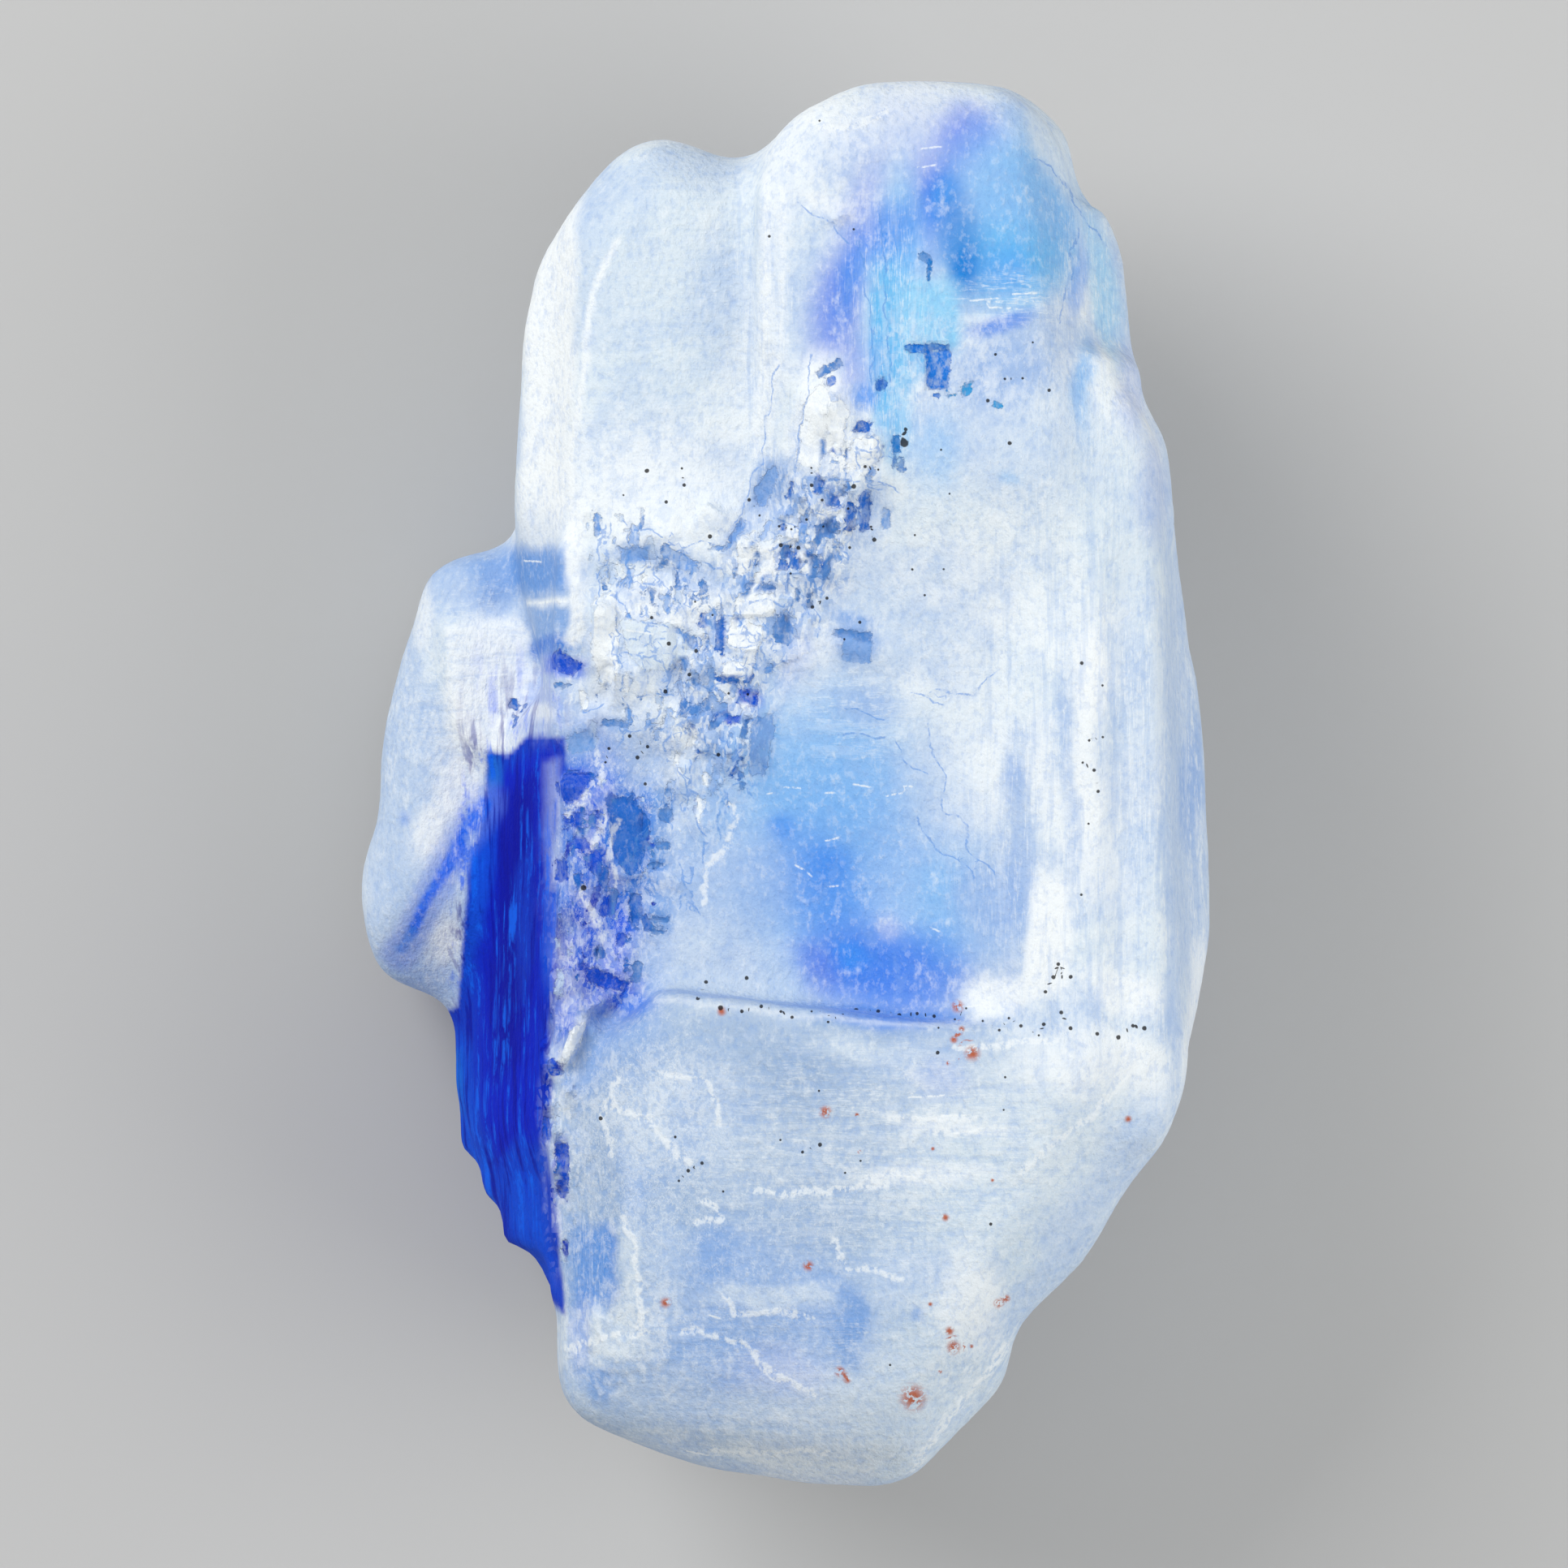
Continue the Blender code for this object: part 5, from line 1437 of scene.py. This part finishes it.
# %% Finish zones
RIB_EDGE = 6.0            # pixels
FINISH_ZONES = {
    "frosty": [
        (1010, 200, 80, 110, 0, 0.9, 0.5), (810, 600, 130, 100, 0, 0.8, 0.5),
        (900, 700, 150, 150, 0, 0.5, 0.5), (760, 1640, 90, 70, 0, 0.9, 0.5),
        (1090, 1420, 240, 90, 0, 0.3, 0.6), (1190, 1640, 60, 100, 0, 0.8, 0.5),
        (1290, 1240, 130, 50, 0, 0.8, 0.5), (1250, 450, 90, 70, 0, 0.6, 0.5),
        (1140, 700, 200, 130, 0, 0.5, 0.6), (560, 900, 90, 120, 0, 0.6, 0.5),
        (1330, 900, 60, 260, 0, 0.5, 0.6),
        (800, 1350, 90, 60, 0, 0.6, 0.5), (940, 1780, 160, 40, 8, 0.6, 0.5),
    ],
    "veiled": [
        (750, 1080, 75, 190, 0, 0.7, 0.4), (800, 1420, 110, 170, 0, 0.9, 0.5),
        (880, 1600, 160, 130, 0, 0.6, 0.6), (1020, 1480, 200, 60, 0, 0.7, 0.5),
        (700, 1300, 30, 220, 0, 0.6, 0.5), (1150, 1500, 180, 160, 0, 0.4, 0.6),
        (1250, 500, 120, 120, 0, 0.4, 0.6),
    ],
    "streaky": [(620, 1200, 62, 340, 2, 1.0, 0.3)],
}


def write_finish_zones(mesh):
    """Turns the finish zones to vertex attributes. Frost and veils leave out the deep blue."""
    points, _ = points_of(mesh)
    seen = wandering_places(points, ZONE_WANDER)
    deep = smooth(outline_distance(in_photo(points), RIB), RIB_EDGE, -RIB_EDGE)
    keep(mesh, "deep_blue", deep)
    for name, zones in FINISH_ZONES.items():
        shown = 1.0 if name == "streaky" else 1.0 - deep
        keep(mesh, name, zones_at(seen, zones) * shown)


write_finish_zones(stone.data)
print("attributes:", [a.name for a in stone.data.attributes if not a.is_internal])

# %% [markdown]
# Halite is rock salt, NaCl: a clear salt with a refractive index of 1.544. Damp air etches its
# skin, so it looks frosted, and light that goes in is scattered by many small cracks, which makes
# it milky. Only the fresh facets are clear. So the material is mostly a rough, pale base with a
# little transmission, and the facets have less roughness and let more light through.
#
# Patterns are drawn on Object coordinates in mm, so they stay on the stone when it turns. Each one
# adds a coat to a list: its mask, where it lies, its colour and its strength. The coats are laid
# at the end, in the order of the list.

# %% Start the material
halite = bpy.data.materials.new("frosted_blue_halite")
halite.use_nodes = True
tree = halite.node_tree
shader = tree.nodes["Principled BSDF"]
point = add(tree, VECTOR, add(tree, "ShaderNodeTexCoord").outputs["Object"], operation="SCALE",
            sockets={"Scale": 1 / MM})
amounts = {
    name: add(tree, "ShaderNodeAttribute", attribute_name=name).outputs["Fac"] for name in (
        "broken", "lined_across", "lined_along", "frosty", "veiled", "streaky", "deep_blue",
        "facet_edge", "facet_window")
}
steps = {
    name: add(tree, "ShaderNodeAttribute", attribute_name=name).outputs["Vector"] for name in (
        "salt_colour", "seen_place", "facet_colour", "crack", "veil", "painted_glint", "grain", "rust")
}
plain_skin = add(tree, MAP, amounts["deep_blue"], 0.0, 1.0, 1.0, 0.0, **SOFT)
coats = []
print("attributes read:", len(amounts) + len(steps))

# %% [markdown]
# Three noises are shared by many coats: a fine hatching, because a cleavage face is never quite
# one plane, a broad mottling, and a small one that makes edges ragged.

# %% Shared noises
HATCH_SCALE = (4.2, 2.7, 3.4)     # per mm, along each axis
MOTTLE_SCALE = (1.3, 0.9, 1.1)
RAGGED_SCALE = (4.0, 4.0, 4.0)
hatch = stretched_noise(tree, point, HATCH_SCALE, 3.0, 0.65)
mottle = stretched_noise(tree, point, MOTTLE_SCALE, 4.0, 0.74)
ragged = stretched_noise(tree, point, RAGGED_SCALE, 3.0, 0.65)
flecks = add(tree, MAP, hatch, 0.40, 0.56, 0.35, 1.0, **SOFT)
print("shared noises, per mm:", HATCH_SCALE, MOTTLE_SCALE, RAGGED_SCALE)

# %% [markdown]
# The broken band is a mosaic: each cleavage cell is a small facet. The same cells shaped the
# relief above, so a dark window sits on its own flat step. A cell has three random numbers. The
# rows below say which cells, by which number and between which limits, take a tint. The hatching
# breaks up the dark ones.

# %% Mosaic of the broken band
CELL_KINDS = {"mosaic": MOSAIC_CELL, "splinter": SPLINTER_CELL, "crumb": CRUMB_CELL}
CELL_TINTS = [
    ("mosaic", 1, (0.55, 0.62), "white", 0.45), ("mosaic", 0, (0.28, 0.22), "grey_blue", 0.6),
    ("splinter", 0, (0.28, 0.23), "slate", 0.55), ("crumb", 0, (0.26, 0.21), "slate", 0.4),
    ("crumb", 1, (0.66, 0.72), "white", 0.6),
]
hatched = add(tree, MAP, hatch, 0.36, 0.60, 0.25, 1.0, **SOFT)
shaded = add(tree, MATH, amounts["broken"], hatched, **TIMES)
rolls = {}
for kind, cell in CELL_KINDS.items():
    roll = cells(tree, steps["seen_place"], *cell)[0].outputs["Color"]
    rolls[kind] = add(tree, "ShaderNodeSeparateXYZ", roll)
for kind, number, limits, tint, strength in CELL_TINTS:
    chosen = add(tree, MAP, rolls[kind].outputs[number], *limits, **SOFT)
    coats.append((chosen, amounts["broken"] if tint == "white" else shaded, tint, strength))
print("tints of the mosaic:", len(CELL_TINTS))

# %% [markdown]
# Frost is a lace: noise with many octaves, cut at a level, so its edges are ragged down to the
# finest scale. Where the skin is frosty the level is lower. The hatching breaks it up into flecks.
# Beside the frost, the high parts of the hatching are lightened and its low parts darkened: this is
# painted light and shade on the fine bumps that the same hatching makes.

# %% Frost, and painted light and shade of the fine bumps
FROST_GAIN = 0.17
frost_level = add(tree, MATH, amounts["frosty"], FROST_GAIN, mottle, **PLUS)
lace = add(tree, MATH, add(tree, MAP, frost_level, 0.54, 0.70, **SOFT), flecks, **TIMES)
hollow = add(tree, MAP, mottle, 0.50, 0.36, **SOFT)
# Painted light on the high parts of the hatching, and painted shade on its low parts.
high, low = (add(tree, MAP, hatch, *ends, **SOFT) for ends in ((0.52, 0.66), (0.48, 0.34)))
coats += [
    (lace, plain_skin, "white", 0.32), (hollow, plain_skin, "mist", 0.22),
    (high, plain_skin, "white", 0.16), (low, plain_skin, "slate", 0.17),
]
print("coats so far:", len(coats))

# %% [markdown]
# The veils of healed cracks are the places where a noise crosses its middle, which gives thin
# wavy fibres along or across the crystal and a net between them.

# %% Growth lines with painted light and shade, and veils
LINE_ROUGH = 0.66
MOTTLE_FIBRE = 0.022      # half widths, of the height of the noise
LINE_FIBRE = 0.030
HATCH_FIBRE = 0.032


def fibres(pattern, half_width):
    """Thin wavy lines where a noise crosses its middle."""
    off = add(tree, MATH, pattern, 0.5, **MINUS)
    off = add(tree, MATH, off, operation="ABSOLUTE")
    return add(tree, MAP, off, half_width, half_width * 0.15, **SOFT)


net = add(tree, MATH, fibres(mottle, MOTTLE_FIBRE), amounts["veiled"], **TIMES)
for zone, scale in LINE_SCALES.items():
    lines = stretched_noise(tree, point, scale, 3.0, LINE_ROUGH)
    lined = add(tree, MATH, amounts[zone], plain_skin, **TIMES)
    # White on the raised lines is painted light, and mist in the sunken ones is painted shade.
    raised, sunken = (add(tree, MAP, lines, *ends, **SOFT) for ends in ((0.50, 0.66), (0.48, 0.34)))
    coats += [(raised, lined, "white", 0.3), (sunken, lined, "mist", 0.3)]
    net = add(tree, MATH, net, add(tree, MATH, fibres(lines, LINE_FIBRE), lined, **TIMES), **MOST)
dense = add(tree, MAP, amounts["veiled"], 0.5, 1.0, **SOFT)
net = add(tree, MATH, net, add(tree, MATH, fibres(hatch, HATCH_FIBRE), dense, **TIMES), **MOST)
coats.append((net, flecks, "white", 0.45))
print("coats so far:", len(coats))

# %% [markdown]
# The deep blue wall has long streaks that follow the rib: light ones in patches and dark ones all
# over it.

# %% Streaks of the deep blue
STREAK_SCALE = (1.8, 0.16, 1.4)   # per mm, along each axis
streaks = stretched_noise(tree, point, STREAK_SCALE, 3.0, LINE_ROUGH)
patchy = add(tree, MAP, mottle, 0.40, 0.56, **SOFT)
light, dark = (add(tree, MAP, streaks, *ends, **SOFT) for ends in ((0.50, 0.64), (0.47, 0.36)))
light = add(tree, MATH, light, patchy, **TIMES)
coats += [
    (light, amounts["streaky"], "bright_royal", 0.85), (dark, amounts["streaky"], "ink", 0.75),
]
print("coats so far:", len(coats))

# %% [markdown]
# Facets come from their distance. The ragged noise is added to it first, so the edges aren't
# drawn with a ruler. A facet is cut where the sum is half of what the noise can add.

# %% Facets
EDGE_WANDER = 14.0        # pixels
FACET_CUT = (8.2, 6.0)
facet_edge = add(tree, MATH, ragged, EDGE_WANDER, amounts["facet_edge"], **PLUS)
facet = add(tree, MAP, facet_edge, *FACET_CUT, **SOFT)
facet_tone = add(tree, MAP, hatch, 0.34, 0.60, 0.38, 1.0, **SOFT)
coats.append((facet, facet_tone, steps["facet_colour"], 1.0))
print("facets drawn:", len(all_facets))

# %% [markdown]
# Lines are drawn from their distances too. Each kind has a half width and a wander in pixels, a
# colour and a strength. The hatching leaves gaps in them.

# %% Cracks, veils and dashes
LINE_LOOKS = {
    # The slate of the cracks is painted shade.
    "crack": (1.7, 6.0, "slate", 0.6),
    "veil": (6.5, 14.0, "white", 0.62),
    # The white of the dashes is painted highlight.
    "painted_glint": (1.7, 3.0, "white", 0.75),
}
LINE_ENDS = (7.0, 4.0)    # pixels from the line, where it is cut off


def line_mask(name, half_width, wander):
    """The thin line where the side changes, near the line only, moved by noise."""
    parts = add(tree, "ShaderNodeSeparateXYZ", steps[name])
    off = add(tree, MATH, ragged, wander, parts.outputs[0], **PLUS)
    off = add(tree, MATH, off, wander * 0.5, **MINUS)
    off = add(tree, MATH, off, operation="ABSOLUTE")
    thin = add(tree, MAP, off, half_width, half_width * 0.3, **SOFT)
    return add(tree, MATH, thin, add(tree, MAP, parts.outputs[1], *LINE_ENDS, **SOFT), **TIMES)


gaps = add(tree, MAP, hatch, 0.37, 0.54, **SOFT)
for name, (half_width, wander, tint, strength) in LINE_LOOKS.items():
    coats.append((line_mask(name, half_width, wander), gaps, tint, strength))
print("kinds of line:", len(LINE_LOOKS))

# %% [markdown]
# Specks come last, because dirt lies on top. A speck is where the step to it is shorter than its
# radius. Rust is a stain, so its edge is soft and broken.

# %% Dirt and rust
SPECK_WANDER = 0.9        # radii
SPECK_ENDS = (1.2, 0.9)


def speck_mask(name, start, end):
    """Round specks of one kind."""
    parts = add(tree, "ShaderNodeSeparateXYZ", steps[name])
    flat = add(tree, VECTOR, steps[name], (1.0, 1.0, 0.0), **TIMES)
    far = add(tree, VECTOR, flat, operation="LENGTH").outputs["Value"]
    far = add(tree, MATH, ragged, SPECK_WANDER, far, **PLUS)
    inside = add(tree, MAP, far, start, end, **SOFT)
    return add(tree, MATH, inside, add(tree, MAP, parts.outputs[2], *SPECK_ENDS, **SOFT), **TIMES)


stain = add(tree, MAP, ragged, 0.40, 0.50, **SOFT)
coats += [
    (speck_mask("rust", 1.8, 0.7), stain, "rust", 0.95),
    (speck_mask("grain", 1.6, 1.25), 1.0, "dirt", 0.92),
]
print("coats in all:", len(coats))

# %% [markdown]
# The coats are laid over the colour of the salt, one after the other.

# %% Lay the coats
tone = steps["salt_colour"]
for mask, where, over, strength in coats:
    if isinstance(over, str):
        over = (*PALETTE[over], 1.0)
    amount = add(tree, MATH, add(tree, MATH, mask, where, **TIMES), strength, **TIMES)
    mixed = add(tree, "ShaderNodeMix", data_type="RGBA", sockets={0: amount, 6: tone, 7: over})
    tone = mixed.outputs[2]
print("coats laid:", len(coats))

# %% [markdown]
# The last step joins the patterns. Facets are smoother and let more light through. The wall of
# the deep blue rib is silky, so it is the roughest. Small heights go to one Bump node, whose
# distance is a millimetre, so the heights are in millimetres too.

# %% Join the patterns
HALITE_IOR = 1.544
GLOSS = 0.08
SKIN_ROUGHNESS, RIB_ROUGHNESS = 0.52, 0.85
FACET_POLISH = -0.18      # what a clear facet adds to the roughness
SKIN_CLEAR, FACET_CLEAR = 0.09, 0.26
HATCH_BUMP, RAGGED_BUMP, FACET_BUMP = 0.09, 0.05, -0.03
BUMP_STRENGTH = 0.9
SHARP_EDGE = 30           # degrees

height = layer(tree, 0.0, hatch, HATCH_BUMP)
height = layer(tree, height, ragged, RAGGED_BUMP)
height = add(tree, MATH, facet, FACET_BUMP, height, **PLUS)
bump = add(tree, "ShaderNodeBump",
           sockets={"Strength": BUMP_STRENGTH, "Distance": MM, "Height": height})

clear = add(tree, MATH, facet, amounts["facet_window"], **TIMES)
rough_skin = add(tree, MAP, amounts["deep_blue"], 0.0, 1.0, SKIN_ROUGHNESS, RIB_ROUGHNESS, **SOFT)
roughness = add(tree, MATH, clear, FACET_POLISH, rough_skin, **PLUS)
see_through = add(tree, MAP, clear, 0.0, 1.0, SKIN_CLEAR, FACET_CLEAR, **SOFT)
for source, target in ((tone, "Base Color"), (roughness.outputs[0], "Roughness"),
                       (see_through.outputs[0], "Transmission Weight"),
                       (bump.outputs[0], "Normal")):
    tree.links.new(source, shader.inputs[target])
shader.inputs["IOR"].default_value = HALITE_IOR
shader.inputs["Specular IOR Level"].default_value = GLOSS
stone.data.materials.append(halite)
hold_only(stone)
bpy.ops.object.shade_smooth_by_angle(angle=math.radians(SHARP_EDGE))
print("material nodes:", len(tree.nodes))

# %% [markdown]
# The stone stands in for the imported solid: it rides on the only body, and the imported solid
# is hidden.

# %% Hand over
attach(stone, "root")
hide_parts("halite")
